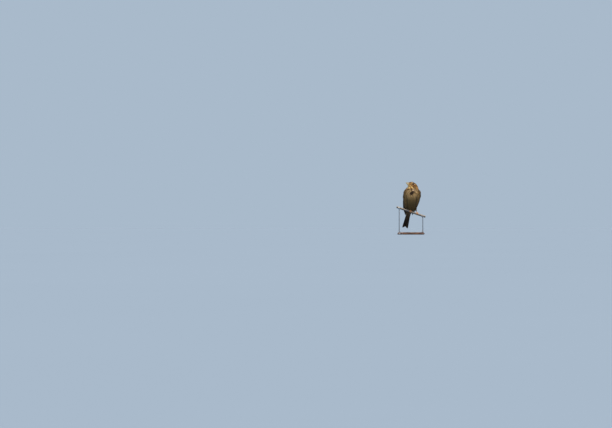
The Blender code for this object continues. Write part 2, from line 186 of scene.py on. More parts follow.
def spline_at(rows: Sequence, share: float) -> Array:
    """A Catmull-Rom value at a share of the way along the rows of a table."""
    rows = np.asarray(rows)
    spot = min(max(share, 0.0), 1.0) * (len(rows) - 1)
    i = min(int(spot), len(rows) - 2)
    t = spot - i
    a, b, c, d = (rows[min(max(j, 0), len(rows) - 1)] for j in (i - 1, i, i + 1, i + 2))
    return 0.5 * (2 * b + (c - a) * t + (2 * a - 5 * b + 4 * c - d) * t**2 + (3 * b - a - 3 * c + d) * t**3)


def spots_of(mesh: Mesh) -> Array:
    """The places, in metres, of a mesh's points."""
    return np.array([v.co for v in mesh.vertices])


def points_of(*nodes: str) -> Array:
    """The places, in metres, of the points of CAD nodes."""
    return np.concatenate([spots_of(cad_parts[node].data) for node in nodes])


def box_middle(node: str) -> Array:
    """The middle, in metres, of a CAD node's box."""
    low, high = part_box(node)
    return np.array((low + high) / 2)


def tree_of(obj: Object) -> BVHTree:
    """A search tree over an object's faces."""
    mesh = obj.data
    return BVHTree.FromPolygons([v.co for v in mesh.vertices], [p.vertices[:] for p in mesh.polygons])


def node_tree(*nodes: str) -> BVHTree:
    """A search tree over the faces of CAD nodes."""
    points, faces = [], []
    for node in nodes:
        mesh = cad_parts[node].data
        faces += [[len(points) + i for i in p.vertices] for p in mesh.polygons]
        points += [v.co.copy() for v in mesh.vertices]
    return BVHTree.FromPolygons(points, faces)


def gaps(points: Array, *nodes: str) -> Array:
    """How far places are, in metres, from the faces of CAD nodes."""
    tree = node_tree(*nodes)
    return np.array([tree.find_nearest(p)[3] for p in points])


def point_tree(points: Array) -> KDTree:
    """A search tree over places."""
    tree = KDTree(len(points))
    for index, point in enumerate(points):
        tree.insert(point, index)
    tree.balance()
    return tree


def part_way(ends: Sequence, share: float | Array) -> float | Array:
    """The value at a share of the way from one end to the next."""
    return ends[0] + (ends[1] - ends[0]) * share


def select_only(obj: Object) -> None:
    """Makes an object the only selected one, and the active one."""
    bpy.ops.object.select_all(action="DESELECT")
    obj.select_set(True)
    bpy.context.view_layer.objects.active = obj


def link(name: str, mesh: Mesh) -> Object:
    """A new object in the scene that holds the mesh."""
    mesh.name = name
    obj = bpy.data.objects.new(name, mesh)
    bpy.context.scene.collection.objects.link(obj)
    return obj


def applied(obj: Object, kind: str, **settings: object) -> Object:
    """Adds a modifier with its settings to an object and applies it."""
    select_only(obj)
    modifier = obj.modifiers.new(kind, kind)
    for name, value in settings.items():
        setattr(modifier, name, value)
    bpy.ops.object.modifier_apply(modifier=modifier.name)
    return obj


def bevelled(obj: Object, width: float, segments: int = 3) -> Object:
    """Rounds an object's sharp edges by a width in millimetres."""
    sharp = {"limit_method": "ANGLE", "angle_limit": math.radians(50)}
    return applied(obj, "BEVEL", width=width * MM, segments=segments, **sharp)


def primitive(kind: str, name: str, **settings: object) -> Object:
    """Adds a mesh primitive by its operator.

    Args:
        kind: the operator's name after primitive_ and before _add.
        name: the new object's name.
        settings: the operator's own settings.

    Returns:
        The new object, the only one selected.
    """
    bpy.ops.object.select_all(action="DESELECT")
    getattr(bpy.ops.mesh, f"primitive_{kind}_add")(**settings)
    obj = bpy.context.active_object
    obj.name = obj.data.name = name
    return obj


def cylinder(
    name: str, spot: Vector, radius: float, length: float, turn: float = 0.0, sides: int = 48
) -> Object:
    """A cylinder of a size in millimetres, upright or turned about Y."""
    size = {"vertices": sides, "radius": radius * MM, "depth": length * MM}
    return primitive("cylinder", name, location=spot, rotation=(0, turn, 0), **size)


def settled(obj: Object) -> Object:
    """Puts an object's place and turn into its mesh."""
    select_only(obj)
    bpy.ops.object.transform_apply(location=True, rotation=True, scale=True)
    return obj


def tube(name: str, rings: int, points: list, value: str, values: Sequence[float]) -> Object:
    """Makes a closed tube out of rings of points.

    Args:
        name: the object's name.
        rings: how many rings there are, each of as many points.
        points: the places of every ring in turn, in metres.
        value: the name of a value for each point.
        values: those values.

    Returns:
        The object, with its faces turned outwards.
    """
    ring, last = len(points) // rings, len(points) - len(points) // rings
    faces = [
        (row + i, row + (i + 1) % ring, row + ring + (i + 1) % ring, row + ring + i)
        for row in range(0, last, ring)
        for i in range(ring)
    ]
    faces += [tuple(range(ring))[::-1], tuple(range(last, last + ring))]
    mesh = bpy.data.meshes.new(name)
    mesh.from_pydata(points, [], faces)
    obj = link(name, mesh)
    add_point_values(obj, value, np.array(values))
    bm = bmesh.new()
    bm.from_mesh(mesh)
    bm.normal_update()
    bmesh.ops.recalc_face_normals(bm, faces=bm.faces)
    bm.to_mesh(mesh)
    bm.free()
    return obj


def joined(name: str, parts: list[Object]) -> Object:
    """Joins objects into the first of them and names it."""
    bpy.ops.object.select_all(action="DESELECT")
    for part in parts:
        part.select_set(True)
    bpy.context.view_layer.objects.active = parts[0]
    if len(parts) > 1:
        bpy.ops.object.join()
    parts[0].name = parts[0].data.name = name
    return parts[0]


def finished(
    obj: Object, finish: Material, nodes: tuple[str, ...] = (), angle: float = 180
) -> Object:
    """Gives a piece its finish and body, and hides the CAD nodes that it stands for.

    Args:
        obj: the piece, with its place in its mesh.
        finish: its material; None keeps those that it has.
        nodes: the CAD nodes that it replaces.
        angle: edges sharper than this, in degrees, stay sharp.

    Returns:
        The piece.
    """
    if finish is not None:
        obj.data.materials.clear()
        obj.data.materials.append(finish)
    select_only(obj)
    if angle < 180:
        bpy.ops.object.shade_smooth_by_angle(angle=math.radians(angle))
    else:
        bpy.ops.object.shade_smooth()
    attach(obj, BODY)
    if nodes:
        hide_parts(*nodes)
    count = sum(len(p.vertices) - 2 for p in obj.data.polygons)
    log.info("%s: %d triangles%s", obj.name, count, f", for {', '.join(nodes)}" if nodes else "")
    return obj


def add_point_values(obj: Object, name: str, values: Array) -> None:
    """Stores a number or a colour for each point of a mesh as an attribute.

    Args:
        obj: the object.
        name: the attribute's name.
        values: one number, or three linear colour parts, for each point.
    """
    if values.ndim == 1:
        attribute = obj.data.attributes.new(name, "FLOAT", "POINT")
        attribute.data.foreach_set("value", values.astype(np.float32))
        return
    attribute = obj.data.attributes.new(name, "FLOAT_COLOR", "POINT")
    full = np.ones((len(values), 4), np.float32)
    full[:, :3] = values
    attribute.data.foreach_set("color", full.ravel())


# --- finishes


TIMES, PLUS, LESS = ({"operation": name} for name in ("MULTIPLY", "ADD", "SUBTRACT"))
COLOURS = {"data_type": "RGBA"}


class Graph:
    """A material while its nodes are added; its spots link Object coordinates, in metres, to a node."""

    def __init__(self, name: str) -> None:
        """Starts an empty material."""
        self.material = bpy.data.materials.new(name)
        self.material.use_nodes = True
        self.tree = self.material.node_tree
        self.tree.nodes.clear()
        self.spots = {"Vector": self.add("TexCoord", out="Object")}

    def add(
        self, kind: str, settings: dict | None = None, links: dict | None = None, out: str | int = 0
    ) -> NodeSocket | None:
        """Adds a shader node.

        Args:
            kind: the node's type, without the words ShaderNode.
            settings: values by property, or by the name or number of an input.
            links: output sockets by the input that each goes to.
            out: the output to return, by name or number.

        Returns:
            The node's output, if it has one.
        """
        node = self.tree.nodes.new("ShaderNode" + kind)
        for name, value in (settings or {}).items():
            if isinstance(name, str) and hasattr(node, name):
                setattr(node, name, value)
            else:
                node.inputs[name].default_value = value
        for name, socket in (links or {}).items():
            self.tree.links.new(socket, node.inputs[name])
        return node.outputs[out] if node.outputs else None

    def finish(self, settings: dict, links: dict) -> Material:
        """Ends the material in a principled shader with its settings and links."""
        self.add("OutputMaterial", links={"Surface": self.add("BsdfPrincipled", settings, links)})
        return self.material


def smooth_range(low: float, high: float) -> dict:
    """Settings of a Map Range node that steps smoothly from 0 at low to 1 at high."""
    return {"interpolation_type": "SMOOTHSTEP", "From Min": low, "From Max": high}


def scaled(factor: float, offset: float) -> dict:
    """Settings of a Math node that multiplies by a factor and adds an offset."""
    return {"operation": "MULTIPLY_ADD", 1: factor, 2: offset}


def between(low: float, high: float) -> dict:
    """Settings of a Map Range node that spreads 0 to 1 over low to high."""
    return {"To Min": low, "To Max": high}


def grain(size: float, detail: float) -> dict:
    """Settings of a noise whose patches are this many millimetres across."""
    return {"Scale": 1 / (size * MM), "Detail": detail}


def relief(strength: float, depth: float) -> dict:
    """Settings of a Bump node with a depth in millimetres."""
    return {"Strength": strength, "Distance": depth * MM}


def two_colours(first: str, second: str) -> dict:
    """Settings of a Mix node from one hex colour to another."""
    return COLOURS | {6: paint(first), 7: paint(second)}


@dataclass(frozen=True)
class VaneFinish:
    """Feather vane, matt keratin: fine slanted barbs, a shaft line, a dark centre and a worn edge.

    The dark centre's half width is the point value `mark`, as a share of the vane's, and it ends
    short of the tip. The colours are the point values `ground` and `centre`.
    """

    name: str
    barbs: float
    slant: float
    soft: float
    shaft: float
    shaft_code: str
    tip_start: float
    roughness: float = 0.72

    def build(self) -> Material:
        """The finished material."""
        g = Graph(self.name)
        ground, centre, mark, tone = (
            g.add("Attribute", {"attribute_name": name}, out=out)
            for name, out in (("ground", "Color"), ("centre", "Color"), ("mark", "Fac"), ("tone", "Fac"))
        )
        sideways = g.add("SeparateXYZ", links={0: g.add("UVMap", {"uv_map": "vane"})})
        along = sideways.node.outputs["Y"]
        middle = g.add("Math", scaled(2.0, -1.0), {0: sideways})
        across = g.add("Math", {"operation": "ABSOLUTE"}, {0: middle})
        # Barbs: real ones lie 0.05 mm apart and are drawn several times as coarse, so that they show.
        lean = g.add("Math", TIMES | {1: self.slant}, {0: across})
        run = g.add("Math", LESS, {0: along, 1: lean})
        phase = g.add("Math", TIMES | {1: self.barbs * math.tau}, {0: run})
        wave = g.add("Math", {"operation": "SINE"}, {0: phase})
        # The centre's edge is frayed by noise 0.5 mm across.
        fray = g.add("Math", scaled(0.3, -0.15), {0: g.add("TexNoise", grain(0.5, 2.0), g.spots)})
        taper = g.add("MapRange", smooth_range(1.0, self.tip_start), {0: along})
        edge = g.add("Math", LESS, {0: g.add("Math", TIMES, {0: mark, 1: taper}), 1: across})
        worn = g.add("Math", PLUS, {0: edge, 1: fray})
        dark = g.add("MapRange", smooth_range(-self.soft, self.soft), {0: worn})
        shown = g.add("MapRange", smooth_range(0.0, 0.12), {0: mark})
        share = g.add("Math", TIMES, {0: dark, 1: shown})
        colour = g.add("Mix", COLOURS, {0: share, 6: ground, 7: centre}, 2)
        quill = g.add("MapRange", smooth_range(self.shaft, self.shaft * 0.4), {0: across})
        quill = g.add("Math", TIMES | {1: 0.6}, {0: quill})
        colour = g.add("Mix", COLOURS | {7: paint(self.shaft_code)}, {0: quill, 6: colour}, 2)
        # Uneven wear 4 mm across, each feather's own tone, and the barbs' light and dark.
        wear = g.add("MapRange", between(0.84, 1.16), {0: g.add("TexNoise", grain(4, 3.0), g.spots)})
        level = g.add("Math", TIMES, {0: wear, 1: g.add("Math", scaled(0.09, 1.0), {0: wave})})
        level = g.add("Math", TIMES, {0: level, 1: tone})
        colour = g.add("VectorMath", {"operation": "SCALE"}, {0: colour, "Scale": level})
        bump = g.add("Bump", relief(0.35, 0.06), {"Height": wave})
        settings = {"Roughness": self.roughness, "Specular IOR Level": 0.25}
        return g.finish(settings, {"Base Color": colour, "Normal": bump})


@dataclass(frozen=True)
class DownFinish:
    """Skin under the coat, hidden in short grey-brown down: the coat's colours, darker and duller, partly as
    grey down and partly as painted shade under the feathers.
    """

    name: str = "plumage down"
    depth: float = 0.62
    roughness: float = 0.9

    def build(self) -> Material:
        """The finished material."""
        g = Graph(self.name)
        ground = g.add("Attribute", {"attribute_name": "ground"}, out="Color")
        # Down tufts about 0.7 mm across.
        tufts = g.add("TexNoise", grain(0.7, 4.0), g.spots)
        # Darkened by depth: grey down, and painted shade under the coat.
        level = g.add("MapRange", between(self.depth - 0.25, self.depth + 0.2), {0: tufts})
        colour = g.add("VectorMath", {"operation": "SCALE"}, {0: ground, "Scale": level})
        bump = g.add("Bump", relief(0.6, 0.25), {"Height": tufts})
        return g.finish({"Roughness": self.roughness}, {"Base Color": colour, "Normal": bump})


@dataclass(frozen=True)
class HornFinish:
    """Keratin horn of bill and claws, grown in layers and worn to a dull gloss.

    The point value `horn` goes from the pale colour at 0 to the dark one at 1.
    """

    name: str
    pale: str
    dark: str
    grain: float
    roughness: float = 0.36

    def build(self) -> Material:
        """The finished material."""
        g = Graph(self.name)
        share = g.add("Attribute", {"attribute_name": "horn"}, out="Fac")
        # Mottling and fine growth flakes, sized in millimetres.
        cloud = g.add("TexNoise", grain(self.grain, 4.0), g.spots)
        flake = g.add("TexNoise", grain(self.grain / 4, 2.0), g.spots)
        offset = g.add("Math", scaled(0.5, -0.25), {0: cloud})
        spread = g.add("Math", PLUS | {"use_clamp": True}, {0: share, 1: offset})
        colour = g.add("Mix", two_colours(self.pale, self.dark), {0: spread}, 2)
        rough = g.add("MapRange", between(self.roughness - 0.1, self.roughness + 0.14), {0: flake})
        bump = g.add("Bump", relief(0.25, 0.05), {"Height": flake})
        settings = {"IOR": 1.54, "Subsurface Weight": 0.08, "Subsurface Scale": 0.4 * MM}
        return g.finish(settings, {"Base Color": colour, "Roughness": rough, "Normal": bump})


@dataclass(frozen=True)
class EyeFinish:
    """Living eye under its wet cornea: black pupil, dark brown iris with fine rays, glass-like gloss."""

    name: str = "eye cornea and iris"
    pupil: str = "030202"
    iris: str = "341b0d"
    rim: str = "120804"

    def build(self) -> Material:
        """The finished material."""
        g = Graph(self.name)
        ring = g.add("Attribute", {"attribute_name": "ring"}, out="Fac")
        # Iris rays about 0.15 mm wide.
        rays = g.add("Math", scaled(0.1, -0.05), {0: g.add("TexNoise", grain(0.15, 2.0), g.spots)})
        colour = g.add("ValToRGB", links={0: g.add("Math", PLUS, {0: ring, 1: rays})})
        stops = colour.node.color_ramp.elements
        stops[0].position, stops[0].color = 0.56, paint(self.pupil)
        stops[1].position, stops[1].color = 0.64, paint(self.iris)
        for position, code in ((0.84, self.iris), (0.98, self.rim)):
            stops.new(position).color = paint(code)
        return g.finish({"Roughness": 0.04, "IOR": 1.376}, {"Base Color": colour})


@dataclass(frozen=True)
class LegFinish:
    """Scaly leg skin, flesh brown and dry, darker in the furrows between its plates.

    The point value `scute` is 1 on a plate and 0 in a furrow.
    """

    name: str = "leg skin scutes"
    plate: str = "dc9c5c"
    furrow: str = "7a4a2c"
    roughness: float = 0.5

    def build(self) -> Material:
        """The finished material."""
        g = Graph(self.name)
        scute = g.add("Attribute", {"attribute_name": "scute"}, out="Fac")
        # Fine granular skin, 0.3 mm, over blotches 2 mm across.
        grains = g.add("TexVoronoi", {"Scale": 1 / (0.3 * MM)}, g.spots)
        share = g.add("Math", scaled(-0.5, 1.05), {0: g.add("TexNoise", grain(2, 3.0), g.spots)})
        share = g.add("Math", TIMES | {"use_clamp": True}, {0: share, 1: scute})
        colour = g.add("Mix", two_colours(self.furrow, self.plate), {0: share}, 2)
        bump = g.add("Bump", relief(0.3, 0.06), {"Height": grains})
        settings = {"Roughness": self.roughness, "Subsurface Weight": 0.1, "Subsurface Scale": 0.5 * MM}
        return g.finish(settings, {"Base Color": colour, "Normal": bump})


@dataclass(frozen=True)
class SheathFinish:
    """Extruded polyethylene cable sheath after years outdoors, with dusty run marks: lighter on top and
    darker below, partly sun bleaching and partly painted light and shade.
    """

    name: str = "weathered cable sheath"
    # The upper colour is sun bleaching with painted light on it; the lower one is painted shade.
    bleached_and_lit: str = "a3978a"
    dark: str = "45484a"
    grime: str = "5d5145"
    roughness: float = 0.62

    def build(self) -> Material:
        """The finished material."""
        g = Graph(self.name)
        turned = g.add("Mapping", {"Rotation": (0, -WIRE_SLOPE, 0)}, g.spots)
        # Scratches and run marks lie along the cable: 0.4 mm wide and 6 mm long.
        long = g.add("Mapping", {"Scale": (1 / 15, 1, 1)}, {"Vector": turned})
        marks = g.add("TexNoise", grain(0.4, 4.0), {"Vector": long})
        offset = g.add("Math", scaled(1.2, -0.6), {0: g.add("TexNoise", grain(3, 5.0), {"Vector": turned})})
        # Painted light and shade: dark where the sheath faces down, the sun-faded top colour where it faces
        # up.
        upward = g.add("SeparateXYZ", links={0: g.add("NewGeometry", out="Normal")}, out="Z")
        top = g.add("MapRange", smooth_range(-0.35, 0.75), {0: g.add("Math", PLUS, {0: upward, 1: offset})})
        colour = g.add("Mix", two_colours(self.dark, self.bleached_and_lit), {0: top}, 2)
        dirt = g.add("Math", TIMES | {1: 0.65}, {0: g.add("MapRange", smooth_range(0.52, 0.7), {0: marks})})
        colour = g.add("Mix", COLOURS | {7: paint(self.grime)}, {0: dirt, 6: colour}, 2)
        bump = g.add("Bump", relief(0.4, 0.08), {"Height": marks})
        return g.finish({"Roughness": self.roughness}, {"Base Color": colour, "Normal": bump})


@dataclass(frozen=True)
class MetalFinish:
    """Metal drawn or brushed one way: fine lines along Z, or along the cable where it is turned."""

    name: str
    colour: str
    dull: str
    roughness: float
    turn: float = 0.0

    def build(self) -> Material:
        """The finished material."""
        g = Graph(self.name)
        turned = g.add("Mapping", {"Rotation": (0, self.turn, 0), "Scale": (1, 1, 1 / 40)}, g.spots)
        # Brush lines 0.12 mm apart, drawn coarser than a real 240-grit brush leaves.
        lines = g.add("TexNoise", grain(0.12, 3.0), {"Vector": turned})
        cloud = g.add("TexNoise", grain(9, 3.0), g.spots)
        rough = g.add("MapRange", between(self.roughness - 0.1, self.roughness + 0.16), {0: lines})
        colour = g.add("Mix", two_colours(self.dull, self.colour), {0: cloud}, 2)
        bump = g.add("Bump", relief(0.2, 0.02), {"Height": lines})
        return g.finish({"Metallic": 1.0}, {"Base Color": colour, "Roughness": rough, "Normal": bump})


@dataclass(frozen=True)
class WoodFinish:
    """Walnut, turned and satin varnished: long grain along X, growth rings and open pores."""

    name: str = "varnished walnut"
    early: str = "7d5233"
    late: str = "3f2415"
    pore: str = "24130a"
    ring: float = 5.0
    roughness: float = 0.36

    def build(self) -> Material:
        """The finished material."""
        g = Graph(self.name)
        # A quarter-sawn blank: growth rings 5 mm apart whose axis lies below the base.
        board = g.add("Mapping", {"Location": (0, 0.012, 0.06), "Scale": (0.12, 1, 1)}, g.spots)
        settings = {"wave_type": "RINGS", "rings_direction": "X", "Scale": 0.31 / (self.ring * MM)}
        settings |= {"Distortion": 5.0, "Detail": 3.0, "Detail Scale": 1.4}
        rings = g.add("TexWave", settings, {"Vector": board}, "Fac")
        # Pores 0.25 mm wide and 5 mm long.
        long = g.add("Mapping", {"Scale": (0.05, 1, 1)}, g.spots)
        pores = g.add("TexNoise", grain(0.25, 3.0), {"Vector": long})
        open_pores = g.add("MapRange", smooth_range(0.6, 0.72), {0: pores})
        colour = g.add("Mix", two_colours(self.early, self.late), {0: rings}, 2)
        share = g.add("Math", TIMES | {1: 0.7}, {0: open_pores})
        colour = g.add("Mix", COLOURS | {7: paint(self.pore)}, {0: share, 6: colour}, 2)
        sunk = g.add("Math", TIMES | {1: -1.0}, {0: open_pores})
        bump = g.add("Bump", relief(0.3, 0.06), {"Height": sunk})
        rough = g.add("MapRange", between(self.roughness - 0.05, self.roughness + 0.12), {0: pores})
        settings = {"Coat Weight": 0.15, "Coat Roughness": 0.4}
        return g.finish(settings, {"Base Color": colour, "Roughness": rough, "Normal": bump})


@dataclass(frozen=True)
class PlainFinish:
    """Matt paper, paint or felt with a faint unevenness, for the floor and small soft parts."""

    name: str
    colour: str
    shade: str
    roughness: float = 0.9
    patch: float = 200.0
    specular: float = 0.5

    def build(self) -> Material:
        """The finished material."""
        g = Graph(self.name)
        cloud = g.add("TexNoise", grain(self.patch, 3.0), g.spots)
        colour = g.add("Mix", two_colours(self.colour, self.shade), {0: cloud}, 2)
        settings = {"Roughness": self.roughness, "Specular IOR Level": self.specular}
        return g.finish(settings, {"Base Color": colour})


# --- the bird's own axes


@dataclass
class HeadFrame:
    """The head's own axes from between the eyes: to its left, forward and up, in millimetres."""

    middle: Array
    axes: Array
    bill_droop: float = 15.9

    @classmethod
    def measured(cls) -> "HeadFrame":
        """The axes as the eyes and the tip of the bill give them."""
        left, right = box_middle("eye_left"), box_middle("eye_right")
        middle, side = (left + right) / 2, unit(left - right)
        bill = points_of("bill_upper")
        tip = bill[np.linalg.norm(bill - middle, axis=1).argmax()] - middle
        tip = unit(tip - side * (tip @ side))
        rise = np.cross(tip, side)
        droop = math.radians(cls.bill_droop)
        forward = tip * math.cos(droop) + rise * math.sin(droop)
        return cls(middle, np.array([side, forward, np.cross(forward, side)]))

    def coords(self, points: Array) -> Array:
        """Places to the left, forward and up, in millimetres."""
        return (points - self.middle) @ self.axes.T / MM

    def world(self, *coords: float) -> Array:
        """The place in metres of left, forward and up in millimetres."""
        return self.middle + np.array(coords) @ self.axes * MM


@dataclass
class Plumage:
    """Corn bunting plumage: ground colours and dark streaks at any place on the bird.

    Places on the head are read as an angle round its long axis, 90 at the crown, 0 at the side and
    -90 at the throat, and a distance forward of the eyes. Places on the body are read as a height
    over the perch and an angle round the body from the middle of the breast.
    """

    head: HeadFrame
    skull: Triple = (0.0, -6.4, -2.6)
    bill_base: Triple = (0.0, 8.0, -4.2)
    below_tail: Triple = (-13.0, 46.0, -46.0)
    head_reach: Pair = (14.0, 24.0)
    levels: Array = field(default=None)
    middles: Array = field(default=None)

    def measure(self, points: Array) -> None:
        """Finds the body's middle line from the places on its skin."""
        heights = points[:, 2]
        edges = np.linspace(heights.min(), heights.max(), 26)
        rows = []
        for low, high in zip(edges, edges[1:]):
            ring = points[(heights >= low) & (heights < high)]
            if len(ring) > 20:
                rows.append((*((ring.min(0) + ring.max(0)) / 2)[:2], (low + high) / 2))
        table = np.array(rows)
        self.levels, self.middles = table[:, 2], table[:, :2]

    def body_coords(self, points: Array) -> tuple[Array, Array]:
        """The angle round the body, in radians to its left, and the height over the perch in mm."""
        x = points[:, 0] - np.interp(points[:, 2], self.levels, self.middles[:, 0])
        y = points[:, 1] - np.interp(points[:, 2], self.levels, self.middles[:, 1])
        return np.arctan2(x, -y), points[:, 2] / MM - PERCH_HEIGHT

    def skull_coords(self, points: Array) -> tuple[Array, Array, Array]:
        """The angle round the head in degrees, millimetres forward, and the distance from its middle."""
        spots = self.head.coords(points)
        angle = np.degrees(np.arctan2(spots[:, 2] - self.skull[2], np.abs(spots[:, 0])))
        return angle, spots[:, 1], np.linalg.norm(spots - np.array(self.skull), axis=1)

    def flow(self, points: Array) -> Array:
        """The way that feathers lie: back from the bill on the head, towards the tail on the body."""
        away = unit(points - self.head.world(*self.bill_base))
        down = unit(np.array(place(*self.below_tail)) - points)
        reach = np.linalg.norm(points - self.head.world(*self.skull), axis=1) / MM
        share = smooth(reach, *self.head_reach)[:, None]
        return unit(away * (1 - share) + down * share)

    def head_colours(self, points: Array) -> tuple[Array, Array]:
        """Ground colours and streaks of the head's tracts."""
        angle, ahead, reach = self.skull_coords(points)
        spots = self.head.coords(points)
        on_side = np.abs(spots[:, 0]) > 5
        front = smooth(ahead, 0, -6)
        crown = smooth(angle, 42 - 7 * front, 50 - 7 * front)
        crown_side = band(angle, 58, 9, 7) * (0.55 + 0.3 * smooth(ahead, -4, 2))
        brow = 1 - smooth(np.abs(angle - (37 - 0.5 * np.clip(-ahead, 0, 20))), 5, 9)
        brow = brow * smooth(ahead, -17, -12)
        ears = band(angle, -7, 19, 6) * smooth(ahead, -2.0, -4.0) * smooth(ahead, -16.5, -13.5)
        eye_line = 1 - smooth(np.abs(angle - (17 - 0.9 * np.clip(-ahead - 3, 0, 20))), 2.4, 5.6)
        eye_line = eye_line * smooth(ahead, -1.5, -4) * smooth(ahead, -18, -14)
        rear = band(ahead, -15.0, 0.8, 1.4) * band(angle, -8, 20, 7)
        rim = band(angle, -27, 2.4, 3.4) * smooth(ahead, 0, -4) * smooth(ahead, -16, -14)
        cheek = band(angle, -39, 6, 5) * smooth(ahead, 7, 3) * smooth(ahead, -15, -11)
        throat = smooth(angle, -55, -64) * smooth(reach, 20.5, 17.5)
        wide = np.interp(ahead, (-7, 5), (6.5, 0.6))
        malar = 1 - smooth(np.abs(angle + 55), wide, wide + 3.0)
        malar = malar * (0.14 + 0.86 * smooth(ahead, -1.5, -6.0))
        malar *= smooth(ahead, 5.5, 3.5) * smooth(ahead, -11, -6) * smooth(reach, 26, 21)
        behind = smooth(np.hypot(spots[:, 1] + 4.6, (spots[:, 2] - 3.4) * 1.25), 3.6, 1.4) * on_side
        ring = band(np.hypot(spots[:, 1], spots[:, 2]), 3.0, 0.5, 0.6) * on_side
        side = band(angle, -12, 16, 12) * smooth(ahead, -12.5, -15.5) * smooth(reach, 13, 16)
        ground = layered(
            "cd9650",
            ("9a6b2e", crown),
            ("54361a", crown_side),
            ("a67c40", brow * 0.8),
            ("f2cb8c", brow * band(ahead, 2.6, 2.2, 2.5)),
            ("b57d44", ears),
            ("432b14", eye_line * 0.9),
            ("c79a50", band(ahead, -12.0, 1.0, 1.6) * band(angle, -8, 16, 7) * 0.8),
            ("4f3519", np.maximum(rear, rim) * 0.75),
            ("ffd68c", cheek),
            ("ffda92", throat),
            ("38250f", malar * 0.9),
            ("d3a75e", band(angle, 12, 10, 8) * smooth(ahead, 3.0, 4.5)),
            ("3b2610", behind * 0.72),
            ("ecca90", ring * 0.8 * (1 - 0.8 * eye_line)),
            ("da9a45", side * 0.85),
        )
        mark = np.maximum(0.2, crown * (0.62 - 0.34 * band(angle, 88, 7, 6))) * (1 - 0.6 * brow)
        mark = np.maximum(mark, ears * 0.34) * (1 - 0.75 * cheek) * (1 - 0.9 * throat) * (1 - 0.9 * ring)
        return ground, np.maximum(mark, side * 0.3)

    def body_colours(self, points: Array) -> tuple[Array, Array]:
        """Ground colours and streaks of the neck, breast, belly, back and rump."""
        angle, height = self.body_coords(points)
        turn, across = np.abs(np.degrees(angle)), points[:, 0] / MM
        sway = 1.9 * np.sin(height / 5.5 + 3 * angle) + 0.8 * np.sin(height / 2.3 - 5 * angle)
        columns = smooth(np.cos(angle * 30 + sway), -0.1, 0.85)
        front = (0.06 + 0.66 * columns) * smooth(height, 40, 58) * smooth(height, 92, 84)
        flank = band(turn, 66, 20, 14) * smooth(height, 12, 24) * (0.12 + 0.4 * columns)
        back = smooth(turn, 96, 116) * (0.1 + 0.8 * columns) * (0.35 + 0.65 * smooth(height, 30, 46))
        # The blotch of merged streaks in the middle of the breast, slanting down to the bird's right.
        z = height - 64.6
        x = across - 3.5 - 0.6 * z
        spread = np.sqrt((x / 7.2) ** 2 + (z / 7.9) ** 2) + 0.14 * np.sin(x * 1.3 + z * 0.7)
        blotch = smooth(spread, 1.15, 0.8) * smooth(turn, 60, 50)
        # A pale rosy patch over the blotch, and orange buff on the neck below and behind the ear coverts.
        pale = smooth(np.hypot(across - 8.4, (height - 74.8) * 1.2), 5.5, 2.5) * smooth(turn, 60, 50)
        warm = band(turn, 63, 18, 16) * band(height, 81.5, 4.0, 3.5)
        # Painted shade: a dark line along each wing's front edge, where the flank meets the wing, and a
        # darker band down each side of the body.
        right, left = -across - 13.6 - 0.03 * (height - 30), across - 19.6 + 0.12 * (46 - height)
        edge = np.where(across < 4, right, left)
        wing_edge_shade = band(edge / np.maximum(np.cos(angle), 0.6), 0.0, 0.8, 1.5)
        wing_edge_shade = wing_edge_shade * smooth(height, 6, 16) * smooth(height, 62, 50) * smooth(turn, 92, 80)
        middle, half = np.where(across < 0, ((42,), (30,)), ((34,), (22,)))
        shade = band(turn, 88, 7, 7) * band(height, middle, half, 10)
        # The dark lower ends of the malar stripes, and a loose necklace of spots from one to the other.
        ahead = smooth(turn, 70, 60)
        ends = [
            ("38280f", smooth(np.hypot(across - x, height - z), size + 1.0, size - 1.0) * ahead * 0.9)
            for x, z, size in ((0.9, 76.0, 2.6), (-9.8, 78.4, 2.2))
        ]
        lace = band(height, 77.5, 1.4, 1.8) * (0.5 + 0.5 * np.sin(angle * 22 + 0.6)) * smooth(turn, 62, 48)
        ground = layered(
            "bb9a69",
            # The paler upper breast, and the breast and belly darkening downwards, are partly the bird's own
            # colours and partly painted light from above and painted shade below.
            ("cba977", band(height, 74, 6, 8) * smooth(turn, 100, 60)),
            ("755b33", smooth(height, 57, 36)),
            ("5a4521", smooth(height, 38, 18) * 0.9),
            ("8a683b", smooth(turn, 52, 80) * 0.8 * smooth(height, 10, 40)),
            ("8a6c40", smooth(turn, 96, 118) * 0.9),
            ("7d623a", smooth(turn, 120, 150) * smooth(height, 46, 30) * 0.8),
            ("22150a", blotch * 0.96),
            ("dcbb9a", pale * 0.85),
            ("d39a58", warm * 0.8),
            ("8c6a36", smooth(edge, 0.6, 2.4) * smooth(height, 14, 30) * smooth(turn, 96, 84) * 0.7),
            # Painted shade along each wing's front edge and down the body's sides.
            ("2e2313", wing_edge_shade * 0.68),
            ("36281a", shade * 0.6),
            *ends,
            ("3f2a14", lace * 0.4),
        )
        return ground, np.maximum(np.maximum(front, flank), back) * (1 - 0.4 * warm) * (1 - 0.8 * pale)

    def colours(self, points: Array) -> tuple[Array, Array]:
        """Ground colour in sRGB and streak half width, at places in metres."""
        _, _, reach = self.skull_coords(points)
        head_ground, head_mark = self.head_colours(points)
        body_ground, body_mark = self.body_colours(points)
        share = smooth(reach, 17.5, 22.5)
        ground = head_ground * (1 - share[:, None]) + body_ground * share[:, None]
        return ground, head_mark * (1 - share) + body_mark * share


# --- skin


